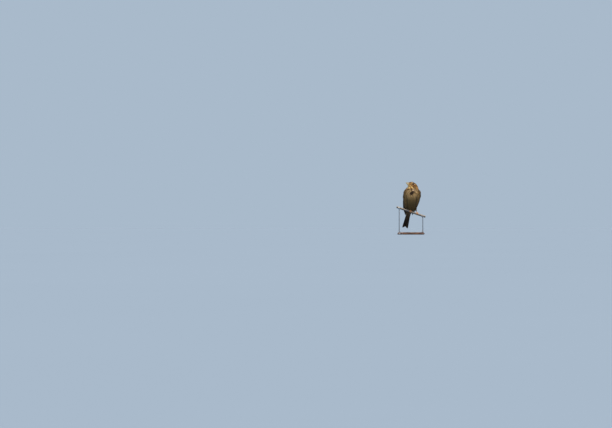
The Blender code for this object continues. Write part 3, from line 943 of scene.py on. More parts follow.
@dataclass
class Skin:
    """One closed skin under the coat, from the neck's tip to the vent, with no seam between its parts."""

    plumage: Plumage
    voxel: float = 0.85
    swell: float = 0.24
    wing_end: float = 26.0
    wing_taper: float = 14.0
    wing_thinning: float = 2.2
    coat_depth: float = 1.75
    head_depth: float = 1.0
    face_depth: float = 0.65
    thinnest_share: float = 0.45
    thigh_extra: float = 1.1
    eye_well: float = 4.6
    neck_smoothing: int = 70
    obj: Object = None
    tree: BVHTree = None
    face_normals: Array = None

    def shell(self) -> Object:
        """The nodes of flesh and the upper wings as one swollen, overlapping shell."""
        bm = bmesh.new()
        for node in (*FLESH, *EYES, *WINGS):
            part = bmesh.new()
            part.from_mesh(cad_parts[node].data)
            bmesh.ops.remove_doubles(part, verts=part.verts, dist=1e-6)
            if node in WINGS:
                geometry = part.verts[:] + part.edges[:] + part.faces[:]
                plane = {"plane_co": place(0, 0, self.wing_end), "plane_no": (0, 0, 1), "clear_inner": True}
                cut = bmesh.ops.bisect_plane(part, geom=geometry, **plane)
                rim = [e for e in cut["geom_cut"] if isinstance(e, bmesh.types.BMEdge)]
                bmesh.ops.contextual_create(part, geom=rim)
            part.normal_update()
            bmesh.ops.recalc_face_normals(part, faces=part.faces)
            for vert in part.verts:
                height = vert.co.z / MM - PERCH_HEIGHT
                low = 1 - smooth(height, self.wing_end, self.wing_end + self.wing_taper)
                thinning = self.wing_thinning * float(low) if node in WINGS else 0.0
                vert.co += vert.normal * (self.swell - thinning) * MM
            mesh = bpy.data.meshes.new(node)
            part.to_mesh(mesh)
            part.free()
            bm.from_mesh(mesh)
            bpy.data.meshes.remove(mesh)
        mesh = bpy.data.meshes.new("skin")
        bm.to_mesh(mesh)
        bm.free()
        return link("skin", mesh)

    def fill_neck(self, obj: Object) -> None:
        """Smooths the crease between head and trunk, where the coat of a real neck is full."""
        points = spots_of(obj.data)
        spots, reach = self.plumage.head.coords(points), self.plumage.skull_coords(points)[2]
        weights = band(reach, 19.5, 4.5, 4.0) * smooth(spots[:, 1], 6.5, 3.0)
        group = obj.vertex_groups.new(name="neck")
        for index in np.nonzero(weights > 0)[0]:
            group.add([int(index)], float(weights[index]), "REPLACE")
        applied(obj, "SMOOTH", factor=0.5, iterations=self.neck_smoothing, vertex_group="neck")
        obj.vertex_groups.clear()

    def depths(self, points: Array) -> Array:
        """How deep the coat is over places, in millimetres."""
        spots, reach = self.plumage.head.coords(points), self.plumage.skull_coords(points)[2]
        from_bill = np.linalg.norm(spots - np.array(self.plumage.bill_base), axis=1)
        body = self.head_depth + (self.coat_depth - self.head_depth) * smooth(reach, 16, 26)
        return self.face_depth + (body - self.face_depth) * smooth(from_bill, 4, 13)

    def sink_eyes(self, points: Array) -> Array:
        """Shapes the skin round each eye: a low mound up to the lids, and room for the ball inside them."""
        spots = self.plumage.head.coords(points)
        off = np.hypot(spots[:, 1], spots[:, 2])
        past = np.clip(off - 2.1, 0, 10)
        limit = np.where(off < 2.0, 10.5, 11.3 + 0.24 * past)
        mound = 11.2 - 0.42 * past - 0.12 * past**2
        for side in Side:
            out = spots[:, 0] * side.value
            mine = out > 4
            out = np.where((off > 2.0) & (off < 8) & mine, np.maximum(out, mound), out)
            spots[mine, 0] = np.where(off < self.eye_well, np.minimum(out, limit), out)[mine] * side.value
        return self.plumage.head.middle + spots @ self.plumage.head.axes * MM

    def build(self) -> None:
        """Remeshes the shell, lowers it by the coat's depth and smooths it."""
        obj = applied(self.shell(), "REMESH", mode="VOXEL", voxel_size=self.voxel * MM)
        obj = applied(obj, "SMOOTH", factor=0.5, iterations=8)
        mesh = obj.data
        self.fill_neck(obj)
        tree = tree_of(obj)
        points = spots_of(mesh)
        depths = self.depths(points) + self.swell + self.thigh_extra * self.on_thighs(points)
        lowered = []
        for vert, depth in zip(mesh.vertices, depths):
            through = (tree.ray_cast(vert.co - vert.normal * 0.1 * MM, -vert.normal)[3] or 1.0) / MM
            lowered.append(vert.co - vert.normal * min(depth, self.thinnest_share * through) * MM)
        mesh.vertices.foreach_set("co", np.array(lowered).ravel())
        obj = applied(obj, "SMOOTH", factor=0.5, iterations=5)
        points = self.sink_eyes(spots_of(mesh))
        mesh.vertices.foreach_set("co", points.ravel())
        mesh.update()
        on_body = self.on_body(points)
        self.plumage.measure(points[on_body])
        ground, _ = self.plumage.colours(points)
        ground[~on_body] = srgb("5a452d")
        add_point_values(obj, "ground", linear(ground))
        self.obj, self.tree = obj, tree_of(obj)
        normals = np.array([v.normal for v in mesh.vertices])
        self.face_normals = unit(np.array([normals[list(p.vertices)].mean(0) for p in mesh.polygons]))
        finished(obj, DownFinish().build(), FLESH)

    @staticmethod
    def on_thighs(points: Array) -> Array:
        """How much places belong to the free part of a thigh, from 0 to 1."""
        return smooth((gaps(points, *TRUNK) - gaps(points, *THIGHS)) / MM, 0.0, 2.0)

    @staticmethod
    def on_body(points: Array) -> Array:
        """Which places lie nearer to the nodes of flesh than to the wings."""
        return gaps(points, *FLESH) <= gaps(points, *WINGS) + 0.2 * MM

    def nearest(self, points: Array) -> tuple[Array, Array]:
        """The nearest places on the skin and its normals there."""
        found = [self.tree.find_nearest(p) for p in points]
        return np.array([f[0] for f in found]), self.face_normals[[f[2] for f in found]]


# --- vanes


@dataclass(frozen=True)
class Section:
    """Cross-section of a closed vane: how far across, -1 to 1, and which of its two skins, 1 or -1."""

    across: Series
    level: Series


TUFT = Section((-1, 0, 1, 0), (0, 1, 0, -1))
LENS = Section((-1, -0.5, 0, 0.5, 1, 0), (0, 1, 1, 1, 0, -1))
BLADE = Section((-1, -0.75, -0.4, -0.08, 0, 0.08, 0.4, 0.75, 1, 0), (0, 1, 1, 1, 2.2, 1, 1, 1, 0, -1))


@dataclass
class Vanes:
    """Many closed vanes of one section, ready to be made into one mesh.

    Arrays are per vane and per station along it. Places are in metres and widths are half widths.
    """

    section: Section
    centre: Array
    normal: Array
    half: Array
    thickness: Array
    cup: Array
    sweep: Array
    shares: Array
    values: dict[str, Array]
    patch: Array
    patch_size: Array
    lead: Array | None = None

    def mesh_object(self, name: str) -> Object:
        """Builds the mesh with its point values, its own map and the OFBake map."""
        count, rows, _ = self.centre.shape
        ring = len(self.section.across)
        x = np.array(self.section.across)
        level = np.array(self.section.level)
        along = unit(np.gradient(self.centre, axis=1))
        normal = flattened(self.normal, along)
        side = np.cross(along, normal)
        spread = np.broadcast_to(x, (count, rows, ring)).copy()
        if self.lead is not None:  # the leading side is narrower than the trailing one
            lead = self.lead[:, None, None]
            spread = spread * np.where(spread * np.sign(lead) > 0, 1 - np.abs(lead), 1 + np.abs(lead))
        out = self.half[:, :, None] * spread
        shares = self.shares[None, :, None]
        thick = self.thickness[:, None, None] * level * (0.35 + 0.65 * np.sin(math.pi * shares))
        rise = thick - self.cup[:, None, None] * self.half[:, :, None] * spread**2
        back = -self.sweep[:, None, None] * np.square(spread) * (shares**3)
        points = self.centre[:, :, None, :] + side[:, :, None, :] * out[..., None]
        points = points + normal[:, :, None, :] * rise[..., None] + along[:, :, None, :] * back[..., None]

        faces = self.faces(rows, ring)
        stride = rows * ring
        index = (faces[None] + np.arange(count)[:, None, None] * stride).reshape(-1)
        mesh = bpy.data.meshes.new(name)
        mesh.vertices.add(count * stride)
        mesh.vertices.foreach_set("co", points.astype(np.float32).ravel())
        mesh.loops.add(len(index))
        mesh.loops.foreach_set("vertex_index", index.astype(np.int32))
        mesh.polygons.add(len(index) // 4)
        mesh.polygons.foreach_set("loop_start", np.arange(0, len(index), 4, dtype=np.int32))
        mesh.update(calc_edges=True)
        mesh.polygons.foreach_set("use_smooth", np.ones(len(index) // 4, bool))

        across = np.broadcast_to((x + 1) / 2, (count, rows, ring))
        share = np.broadcast_to(shares, (count, rows, ring))
        vane = np.stack([across, share], -1).reshape(-1, 2)
        corner = np.stack([across - 0.5, share - 0.5], -1) * self.patch_size[:, None, None, :]
        bake = (self.patch[:, None, None, :] + corner).reshape(-1, 2)
        for map_name, coords in (("vane", vane), ("OFBake", bake)):
            layer = mesh.uv_layers.new(name=map_name)
            layer.data.foreach_set("uv", coords[index].astype(np.float32).ravel())
        obj = link(name, mesh)
        for key, value in self.values.items():
            add_point_values(obj, key, np.repeat(value, stride, axis=0))
        return obj

    @staticmethod
    def faces(rows: int, ring: int) -> Array:
        """The quads of one vane: its sides from row to row, and its two ends."""
        quads = []
        for row in range(rows - 1):
            for i in range(ring):
                a, b = row * ring + i, row * ring + (i + 1) % ring
                quads.append((a, b, b + ring, a + ring))
        for end, first in ((0, 0), (1, (rows - 1) * ring)):
            last = ring - 1
            for i in range((ring - 2) // 2):
                quad = (first + i, first + i + 1, first + last - 1 - i, first + last - i)
                quads.append(quad if end else quad[::-1])
        return np.array(quads)


# --- contour coat


class Tract(Enum):
    """Feather tracts, each a coat piece of its own."""

    FACE = "coat_face"
    CROWN = "coat_crown"
    THROAT = "coat_throat"
    NECK = "coat_neck"
    BREAST = "coat_breast"
    BELLY = "coat_belly"
    BACK = "coat_back"
    RUMP = "coat_rump"
    THIGHS = "coat_thighs"


@dataclass(frozen=True)
class TractForm:
    """How a tract's feathers are shaped, in shares of their spacing and in millimetres."""

    section: Section
    shares: Series
    widths: Series
    length: float = 4.8
    half: float = 0.92
    thickness: float = 0.07
    cup: float = 0.22
    sweep: float = 0.12


SMALL = TractForm(TUFT, (0, 0.3, 0.62, 0.86, 1.0), (0.4, 0.85, 1.0, 0.66, 0.12), 4.0, 0.74, 0.06, 0.26, 0.1)
LARGE = TractForm(LENS, (0, 0.25, 0.5, 0.72, 0.9, 1.0), (0.35, 0.8, 1.0, 0.9, 0.55, 0.1))


# The CAD nodes that the tips of these tracts stay close to.
TRIMMED = {
    Tract.THIGHS: (*THIGHS, *TRUNK),
    Tract.RUMP: ("rump", "tail", "belly", *WINGS, *THIGHS),
}


@dataclass
class Coat:
    """The contour feathers: roots spread over the skin, vanes that lie along the flow and overlap."""

    plumage: Plumage
    skin: Skin
    wings: list["FoldedWing"]
    candidates: int = 120000
    lid_reach: float = 2.55
    thigh_margin: float = 1.2
    steepest: float = 0.5
    shoulder: float = 21.0
    tail_margin: float = 4.0
    hem: Triple = (5.0, 11.0, 0.6)
    spacing_reach: Series = (3.5, 8, 15, 22, 34, 50)
    spacing_values: Series = (0.55, 0.68, 0.82, 1.0, 1.25, 1.42)
    thigh_spacing: float = 0.95
    thigh_closeness: float = 0.35
    free_gap: float = 0.5
    thigh_pull: float = 0.45
    farthest: float = 0.5
    straightest: float = 0.84
    turn_jitter: float = 0.11
    length_jitter: float = 0.12
    rng: np.random.Generator = field(default_factory=lambda: np.random.default_rng(SEED))

    def spacing(self, points: Array, thigh: Array) -> Array:
        """Millimetres between roots: smallest at the bill, and small on the thighs."""
        spots = self.plumage.head.coords(points)
        reach = np.linalg.norm(spots - np.array(self.plumage.bill_base), axis=1)
        eye = np.linalg.norm(np.abs(spots) - np.array([10.0, 0, 0]), axis=1)
        size = np.interp(np.minimum(reach, eye * 2.2 + 1.0), self.spacing_reach, self.spacing_values)
        size = np.where(eye > 12, np.interp(reach, self.spacing_reach, self.spacing_values), size)
        return np.where(thigh, np.minimum(size, self.thigh_spacing), size)

    def roots(self) -> tuple[Array, Array, Array]:
        """Root places, whether each is on a thigh, and the spacing there."""
        mesh = self.skin.obj.data
        mesh.calc_loop_triangles()
        points = spots_of(mesh)
        corners = points[np.array([t.vertices[:] for t in mesh.loop_triangles])]
        edges = corners[:, 1:] - corners[:, :1]
        areas = np.linalg.norm(np.cross(edges[:, 0], edges[:, 1]), axis=1)
        reach = np.linalg.norm(corners.mean(1) - self.plumage.head.world(*self.plumage.skull), axis=1) / MM
        weight = areas * np.interp(reach, (14, 24, 40), (5.0, 2.0, 1.0))
        picks = self.rng.choice(len(areas), self.candidates, p=weight / weight.sum())
        a, b = np.sqrt(self.rng.random(self.candidates)), self.rng.random(self.candidates)
        weights = np.stack([1 - a, a * (1 - b), a * b], 1)
        spots = (corners[picks] * weights[..., None]).sum(1)
        spots = spots[self.allowed(spots)]
        thigh = gaps(spots, *THIGHS) < gaps(spots, *TRUNK) + self.thigh_margin * MM
        flow, (_, normals) = self.plumage.flow(spots), self.skin.nearest(spots)
        steepness = (flow * normals).sum(1) + np.where(np.abs(spots[:, 0]) > self.shoulder * MM, 0.3, 0.0)
        lying = (steepness < self.steepest) | thigh | (spots[:, 2] > PERCH_HEIGHT * 1.45 * MM)
        lying &= thigh | (spots[:, 2] > (PERCH_HEIGHT - self.tail_margin) * MM)
        spots, thigh = spots[lying], thigh[lying]
        sizes = self.spacing(spots, thigh)
        tree, kept, gone = point_tree(spots), [], np.zeros(len(spots), bool)
        for i, spot in enumerate(spots):
            if not gone[i]:
                kept.append(i)
                gone[[found[1] for found in tree.find_range(spot, sizes[i] * MM * 0.86)]] = True
        return spots[kept], thigh[kept], sizes[kept]

    def astray(self, centres: Array, thigh: Array, tract: Tract) -> Array:
        """Which vanes bend back, lie across the flow, come out through a wing or stand off the body."""
        starts, tips = centres[:, 0], centres[:, -1]
        chord = np.linalg.norm(tips - starts, axis=1)
        path = np.linalg.norm(np.diff(centres, axis=1), axis=2).sum(1)
        away = chord < path * self.straightest
        away |= (unit(tips - starts) * self.way(starts, thigh)).sum(1) < 0.4
        for wing in self.wings:
            across, down, off = wing.locate(tips)
            inner = np.where(off < 1.3, np.where(down > 0.42, 0.97, 0.94), 0.86)
            away |= (off < 2.2) & (across > 0.2) & (across < inner) & (down > 0.3) & (down < 0.97)
        if tract in TRIMMED:
            nodes = node_tree(*TRIMMED[tract])
            off = [(Vector(p) - f[0]) @ f[1] for p, f in zip(tips, map(nodes.find_nearest, tips))]
            away |= np.array(off) > self.farthest * MM
        return away

    def allowed(self, points: Array) -> Array:
        """Which places may grow a feather: off the lids, clear of the bill and not under a wing."""
        spots = self.plumage.head.coords(points)
        free = ~((np.hypot(spots[:, 1], spots[:, 2]) < self.lid_reach) & (np.abs(spots[:, 0]) > 5))
        free &= gaps(points, "bill_upper", "bill_lower") > 0.15 * MM
        for wing in self.wings:
            free &= ~wing.covers(points)
        return free

    def walk(self, roots: Array, lengths: Array, thigh: Array, shares: Series):
        """Lays a centre line over the skin from each root.

        Args:
            roots: root places in metres.
            lengths: vane lengths in metres.
            thigh: which roots are on a thigh.
            shares: stations along a vane.

        Returns:
            The places and the skin's normals, per vane and station.
        """
        spots, normals = self.skin.nearest(roots)
        turn = self.rng.normal(0, self.turn_jitter, len(roots))[:, None]
        centres, ups = [spots], [normals]
        last = None
        for before, after in zip(shares, shares[1:]):
            way = flattened(self.way(spots, thigh), normals)
            way = unit(way + np.cross(normals, way) * turn)
            last = way if last is None else flattened(way * 0.7 + last * 0.3, normals)
            aim = spots + last * (lengths * (after - before))[:, None]
            found, found_normals = self.skin.nearest(aim)
            free = np.linalg.norm(aim - found, axis=1) > self.free_gap * MM
            pulled = aim + (found - aim) * np.where(thigh, self.thigh_pull, 0.0)[:, None]
            spots = np.where(free[:, None], pulled, found)
            normals = np.where(free[:, None], normals, found_normals)
            centres.append(spots)
            ups.append(normals)
        return np.stack(centres, 1), np.stack(ups, 1)

    @staticmethod
    def knee(side: Side) -> Array:
        """The place on the leg where the thigh's feathers end."""
        leg = points_of(f"foot_{side.word}")
        return leg[leg[:, 2].argmax()] - np.array([0, 0, 7.5 * MM])

    def way(self, points: Array, thigh: Array) -> Array:
        """The flow, parted round the eyes and turned down the legs on the thighs."""
        flow = self.plumage.flow(points)
        for side in Side:
            mine = thigh & (np.sign(points[:, 0] - 7 * MM) == side.value)
            flow[mine] = unit(self.knee(side) - points[mine])
        spots = self.plumage.head.coords(points)
        eye = np.stack([np.zeros(len(spots)), spots[:, 1], spots[:, 2]], 1)
        off = np.linalg.norm(eye, axis=1)
        push = np.where(np.abs(spots[:, 0]) > 5, smooth(off, 5.0, 2.6), 0) * 1.6
        return unit(flow + unit(eye) @ self.plumage.head.axes * push[:, None])

    def tracts(self, points: Array, thigh: Array) -> Array:
        """The tract of each root."""
        angle, ahead, reach = self.plumage.skull_coords(points)
        turn, height = self.plumage.body_coords(points)
        turn = np.abs(np.degrees(turn))
        head, chosen = reach < 19, np.full(len(points), Tract.BELLY, object)
        for where, tract in (
            (height > 38, Tract.BREAST),
            (turn > 95, Tract.BACK),
            (height < 12, Tract.RUMP),
            (height > 73, Tract.NECK),
            (head, Tract.CROWN),
            (head & (angle < 34) & (ahead > -16), Tract.FACE),
            (head & (angle < -46), Tract.THROAT),
            (thigh, Tract.THIGHS),
        ):
            chosen[where] = tract
        return chosen

    def unwrapped(self, points: Array, tract: Tract) -> Array:
        """Places on the skin's own unwrap, round it and along it, as a share of the tract's own span."""
        if tract in (Tract.FACE, Tract.CROWN, Tract.THROAT):
            spots = self.plumage.head.coords(points) - np.array(self.plumage.skull)
            turn = np.arctan2(spots[:, 0], spots[:, 2] if tract is Tract.CROWN else -spots[:, 2])
            flat = np.stack([turn, spots[:, 1]], 1)
        else:
            turn, height = self.plumage.body_coords(points)
            if tract in (Tract.BACK, Tract.RUMP):
                turn = np.mod(turn, math.tau)
            flat = np.stack([turn, height], 1)
        low, high = flat.min(0), flat.max(0)
        return 0.01 + 0.98 * (flat - low) / np.maximum(high - low, 1e-9)

    def build(self) -> None:
        """Makes each tract's vanes as one piece."""
        roots, thigh, sizes = self.roots()
        chosen = self.tracts(roots, thigh)
        finish = VaneFinish("contour feather vane", 11, 0.55, 0.16, 0.05, "6b5233", 0.72).build()
        for tract in Tract:
            mine = chosen == tract
            form = SMALL if tract in (Tract.FACE, Tract.CROWN, Tract.THROAT, Tract.THIGHS) else LARGE
            piece = self.tract_piece(tract, form, roots[mine], thigh[mine], sizes[mine])
            finished(piece, finish)

    def tract_piece(
        self, tract: Tract, form: TractForm, roots: Array, thigh: Array, sizes: Array
    ) -> Object:
        """The vanes of one tract as one mesh.

        Args:
            tract: which tract.
            form: the shape of its vanes.
            roots: root places in metres.
            thigh: which roots are on a thigh.
            sizes: the spacing at each root in millimetres.

        Returns:
            The mesh object.
        """
        count = len(roots)
        shares = np.array(form.shares)
        lengths = sizes * form.length * (1 + self.rng.normal(0, self.length_jitter, count)) * MM
        hem = np.ones(count)
        for side in Side:
            near = np.linalg.norm(roots - self.knee(side), axis=1) / MM
            hem *= np.where(thigh, np.interp(near, self.hem[:2], (self.hem[2], 1.0)), 1.0)
        lengths *= hem
        centres, ups = self.walk(roots, lengths, thigh, form.shares)
        depth = self.skin.depths(centres.reshape(-1, 3)).reshape(count, -1)
        depth *= (1 - self.thigh_closeness * self.skin.on_thighs(roots)[:, None]) * hem[:, None]
        lift = 1 + self.rng.normal(0, 0.14, (count, 1))
        height = -0.12 + (depth * lift + 0.12 - form.thickness) * shares**0.85
        centres = centres + ups * height[..., None] * MM
        kept = ~self.astray(centres, thigh, tract)
        centres, ups, roots, sizes, lengths = (a[kept] for a in (centres, ups, roots, sizes, lengths))
        count = len(roots)
        half = (sizes * form.half * (1 + self.rng.normal(0, 0.08, count)))[:, None]
        half = half * np.array(form.widths) * MM
        ground, mark = self.plumage.colours(centres[:, -2])
        mark = np.clip(mark * (1 + self.rng.normal(0, 0.3, count)), 0, 0.95)
        values = {"ground": linear(ground), "centre": linear(ground + (srgb("3b2915") - ground) * 0.9)}
        values |= {"mark": mark, "tone": 1 + self.rng.normal(0, 0.075, count)}
        vanes = Vanes(
            form.section, centres, ups, half, np.full(count, form.thickness * MM), np.full(count, form.cup),
            lengths * form.sweep, shares, values, self.unwrapped(roots, tract), np.full((count, 2), 0.003),
        )
        return vanes.mesh_object(tract.value)


# --- wings and tail


@dataclass(frozen=True)
class Row:
    """A row of like feathers on the folded wing, from its first to its last.

    Root and tip are (across from the front edge, down from the wrist) as shares of the wing. Layers
    are millimetres under the wing's outer surface, and the mark is the dark centre's half width.
    """

    name: str
    count: int
    roots: tuple[Pair, Pair]
    tips: tuple[Pair, ...]
    half: Pair
    layers: Pair
    lead: float
    mark: float
    fringe: str
    centre: str
    point: float = 0.72
    lift: float = 0.25
    dip: float = 0.5


# Lowest first: outer primaries lie under inner ones, and the tertials and coverts over them all.
WING_ROWS = (
    Row("primaries", 9, ((0.05, 0.30), (0.45, 0.26)),
        ((0.12, 0.93), (0.27, 0.975), (0.44, 1.0), (0.58, 0.985), (0.68, 0.955), (0.75, 0.915),
         (0.79, 0.875), (0.81, 0.835), (0.83, 0.8)),
        (3.9, 4.3), (2.1, 1.15), 0.35, 0.86, "63523a", "291f15", 0.84, 0.1),
    Row("secondaries", 6, ((0.45, 0.2), (0.74, 0.16)), ((0.66, 0.755), (0.84, 0.66)), (4.2, 4.6),
        (1.0, 0.6), 0.3, 0.84, "846b45", "382b1b", 0.84, 0.1),
    Row("edge coverts", 9, ((-0.03, 0.06), (0.01, 0.42)), ((-0.02, 0.2), (0.03, 0.6)), (1.7, 1.9),
        (0.9, 1.2), 0.0, 0.6, "7f643c", "4b3924", 0.6, 0.3),
    Row("primary coverts", 6, ((0.04, 0.16), (0.26, 0.13)), ((0.06, 0.43), (0.32, 0.385)), (1.9, 2.2),
        (0.75, 0.6), 0.3, 0.86, "846b45", "3b2d1b"),
    Row("alula", 3, ((0.02, 0.1), (0.12, 0.1)), ((0.03, 0.33), (0.14, 0.28)), (2.1, 2.1),
        (0.5, 0.4), 0.3, 0.86, "8d7249", "3a2c1a"),
    Row("tertials", 4, ((0.66, 0.16), (0.90, 0.12)),
        ((0.62, 0.765), (0.74, 0.71), (0.85, 0.635), (0.94, 0.55)), (4.6, 4.9),
        (0.5, 0.05), 0.12, 0.84, "8c6d42", "3b2b19", 0.7, 0.15),
    Row("greater coverts", 11, ((0.08, 0.14), (0.88, 0.10)), ((0.10, 0.375), (0.92, 0.335)), (2.5, 3.1),
        (0.35, 0.0), 0.2, 0.76, "82673f", "3a2b19", 0.66, 0.3),
    Row("median coverts", 11, ((0.05, 0.06), (0.90, 0.01)), ((0.06, 0.23), (0.93, 0.19)), (2.0, 2.5),
        (0.0, -0.2), 0.1, 0.68, "8a6d43", "3a2b19", 0.6, 0.35),
    Row("lower lesser coverts", 13, ((0.02, 0.04), (0.92, 0.0)), ((0.03, 0.165), (0.95, 0.135)), (1.5, 1.8),
        (-0.15, -0.25), 0.0, 0.6, "806239", "47351f", 0.6, 0.3, 0.7),
    Row("middle lesser coverts", 12, ((0.04, 0.01), (0.9, -0.03)), ((0.05, 0.12), (0.93, 0.095)), (1.4, 1.7),
        (-0.15, -0.25), 0.0, 0.56, "785b34", "47351f", 0.6, 0.3, 1.2),
    Row("upper lesser coverts", 10, ((0.06, -0.03), (0.88, -0.05)), ((0.07, 0.08), (0.9, 0.06)), (1.4, 1.7),
        (-0.1, -0.2), 0.0, 0.56, "725630", "47351f", 0.6, 0.3, 1.5),
    Row("long scapulars", 8, ((0.84, 0.08), (1.08, 0.14)), ((0.86, 0.33), (1.03, 0.42)), (2.5, 2.8),
        (-0.2, -0.4), 0.0, 0.6, "8a6a3e", "3a2b18", 0.62, 0.4, 1.0),
    Row("middle scapulars", 8, ((0.8, 0.0), (1.1, 0.08)), ((0.84, 0.22), (1.05, 0.3)), (2.3, 2.6),
        (-0.3, -0.5), 0.0, 0.58, "83653a", "3a2b18", 0.62, 0.4, 1.4),
    Row("upper scapulars", 8, ((0.78, -0.06), (1.1, 0.0)), ((0.82, 0.13), (1.06, 0.2)), (2.1, 2.4),
        (-0.3, -0.5), 0.0, 0.56, "7c5e36", "3a2b18", 0.6, 0.4, 2.0),
)


def outline(shares: Array, point: float) -> Array:
    """Half width along a feather as a share of its widest: a soft base, and a tip rounded past the point."""
    base = 0.35 + 0.65 * smooth(shares, 0.0, 0.4)
    tip = np.clip((shares - point) / (1 - point), 0, 1)
    return np.maximum(base * np.sqrt(np.maximum(1 - tip**2.1, 0)), 0.07)


def stations(count: int) -> Array:
    """Shares along a large feather, closest together at its tip."""
    return 1 - (1 - np.linspace(0, 1, count)) ** 1.5


@dataclass
class Feather:
    """A large feather: its centre line in metres, how it narrows and where it is dark."""

    centre: Array
    normal: Array
    half: Array
    lead: float
    mark: float
    ground: str
    dark: str
    tone: float


def packed(count: int) -> tuple[Array, Array]:
    """Middles and sizes of equal patches, in rows, for the bake map of a few large feathers."""
    columns = math.ceil(math.sqrt(count))
    index = np.arange(count)
    middles = (np.stack([index % columns, index // columns], 1) + 0.5) / columns
    return middles, np.full((count, 2), 0.88 / columns)


@dataclass
class FoldedWing:
    """One folded wing: rows of feathers laid over the outer face of its CAD node.

    Sections are (height, then across and back of its front edge, outermost place and back edge).
    """

    side: Side
    grid: tuple[int, int] = (25, 49)
    reach: float = 14.0
    cover_reach: Pair = (6.0, 2.2)
    cover_front: tuple[Series, Series] = ((0.0, 0.2, 0.4, 1.0), (0.1, 0.07, 0.1, 0.0))
    sections: Table = (
        (76.0, 22.0, -6.5, 24.6, -1.0, 20.4, 6.0),
        (71.0, 24.4, -11.0, 28.6, 0.0, 17.6, 14.0),
        (62.0, 26.0, -12.5, 30.6, 3.0, 14.0, 21.5),
        (50.0, 26.8, -9.0, 30.4, 8.0, 10.6, 27.0),
        (37.0, 26.0, -2.4, 29.2, 14.0, 7.6, 30.4),
        (24.0, 23.8, 5.0, 26.2, 19.0, 5.6, 32.8),
        (10.0, 20.8, 13.4, 22.2, 25.0, 5.4, 35.0),
        (-2.0, 16.8, 21.6, 17.0, 29.0, 8.0, 35.6),
        (-12.0, 13.8, 28.0, 13.4, 31.4, 10.4, 34.6),
    )
    lean_heights: Series = (-9.0, 1.5, 14.0, 27.0, 40.0, 53.0, 65.0, 76.0)
    lean_places: Series = (-7.2, -5.8, -3.2, -0.6, 1.5, 3.0, 4.0, 5.2)

    def measure(self) -> None:
        """Casts a grid of rays at the CAD wing, so that any place on its outer face can be read."""
        tree = node_tree(f"wing_{self.side.word}")
        columns, rows = self.grid
        points = np.zeros((columns, rows, 3))
        for i in range(columns):
            for j in range(rows):
                points[i, j] = self.cast(tree, i / (columns - 1), j / (rows - 1))
        for _ in range(3):
            inner = (points[:-2, 1:-1] + points[2:, 1:-1] + points[1:-1, :-2] + points[1:-1, 2:]) / 4
            points[1:-1, 1:-1] = (points[1:-1, 1:-1] + inner) / 2
        self.points = points
        across, down = np.gradient(points, axis=0), np.gradient(points, axis=1)
        self.normals = unit(np.cross(down, across)) * self.side.value

    def cast(self, tree: BVHTree, across: float, down: float) -> Vector:
        """The outermost place of the CAD wing at shares across and down it."""
        height, fx, fy, ox, oy, bx, by = spline_at(self.sections, down)
        front, outer, back = Vector((fx, fy)), Vector((ox, oy)), Vector((bx, by))
        bend = 2 * outer - 0.5 * (front + back)
        spot = front * (1 - across) ** 2 + bend * 2 * across * (1 - across) + back * across**2
        slope = (bend - front) * (1 - across) + (back - bend) * across
        hand = self.side.value
        out = Vector((hand * slope.y, -slope.x, 0)).normalized()
        lean = float(np.interp(height, self.lean_heights, self.lean_places))
        start = place(hand * spot.x + lean, spot.y, height) + out * self.reach * MM
        found = tree.ray_cast(start, -out)[0]
        return found or tree.find_nearest(start - out * self.reach * MM)[0]

    def read(self, across: Array, down: Array) -> tuple[Array, Array]:
        """Places and normals at shares across and down; outside 0 to 1 they go on straight."""
        columns, rows = self.grid
        u, v = across * (columns - 1), down * (rows - 1)
        i = np.clip(np.floor(u).astype(int), 0, columns - 2)
        j = np.clip(np.floor(v).astype(int), 0, rows - 2)
        s, t = (u - i)[..., None], (v - j)[..., None]

        def blend(table: Array) -> Array:
            low = table[i, j] * (1 - s) + table[i + 1, j] * s
            return low * (1 - t) + (table[i, j + 1] * (1 - s) + table[i + 1, j + 1] * s) * t

        return blend(self.points), unit(blend(self.normals))

    def locate(self, points: Array) -> tuple[Array, Array, Array]:
        """The shares across and down the wing nearest to places, and how far off it is in millimetres."""
        columns, rows = self.grid
        tree = point_tree(self.points.reshape(-1, 3))
        found = [tree.find(p) for p in points]
        index = np.array([f[1] for f in found])
        return index // rows / (columns - 1), index % rows / (rows - 1), np.array([f[2] for f in found]) / MM

    def covers(self, points: Array) -> Array:
        """Which places lie under the wing's own feathers, behind its front edge."""
        across, down, off = self.locate(points)
        near = off < np.interp(down, (0.4, 0.65), self.cover_reach)
        front = np.interp(down, *self.cover_front)
        return near & (across > front) & (across < 1) & (down > 0.06) & (down < 1)

    def row_vanes(self, row: Row, rng: np.random.Generator) -> list[Feather]:
        """The feathers of one row."""
        shares = stations(13)
        feathers = []
        tips = np.array(row.tips)
        for number in range(row.count):
            place_in_row = number / max(row.count - 1, 1)
            root = np.array(row.roots[0]) * (1 - place_in_row) + np.array(row.roots[1]) * place_in_row
            spot = place_in_row * (len(tips) - 1)
            low = min(int(spot), len(tips) - 2)
            tip = part_way(tips[low:], spot - low) + rng.normal(0, (0.004, 0.005))
            (left, top), (right, bottom) = root, tip
            centre, normal = self.read(part_way((left, right), shares**1.2), part_way((top, bottom), shares))
            height = -part_way(row.layers, place_in_row) - row.dip * (1 - shares) + row.lift * shares**2
            centre = centre + normal * height[:, None] * MM
            half = part_way(row.half, place_in_row) * outline(shares, row.point) * MM
            mark, tone = row.mark * (1 + rng.normal(0, 0.03)), 1 + rng.normal(0, 0.06)
            lead = row.lead * self.side.value
            feathers.append(Feather(centre, normal, half, lead, mark, row.fringe, row.centre, tone))
        return feathers

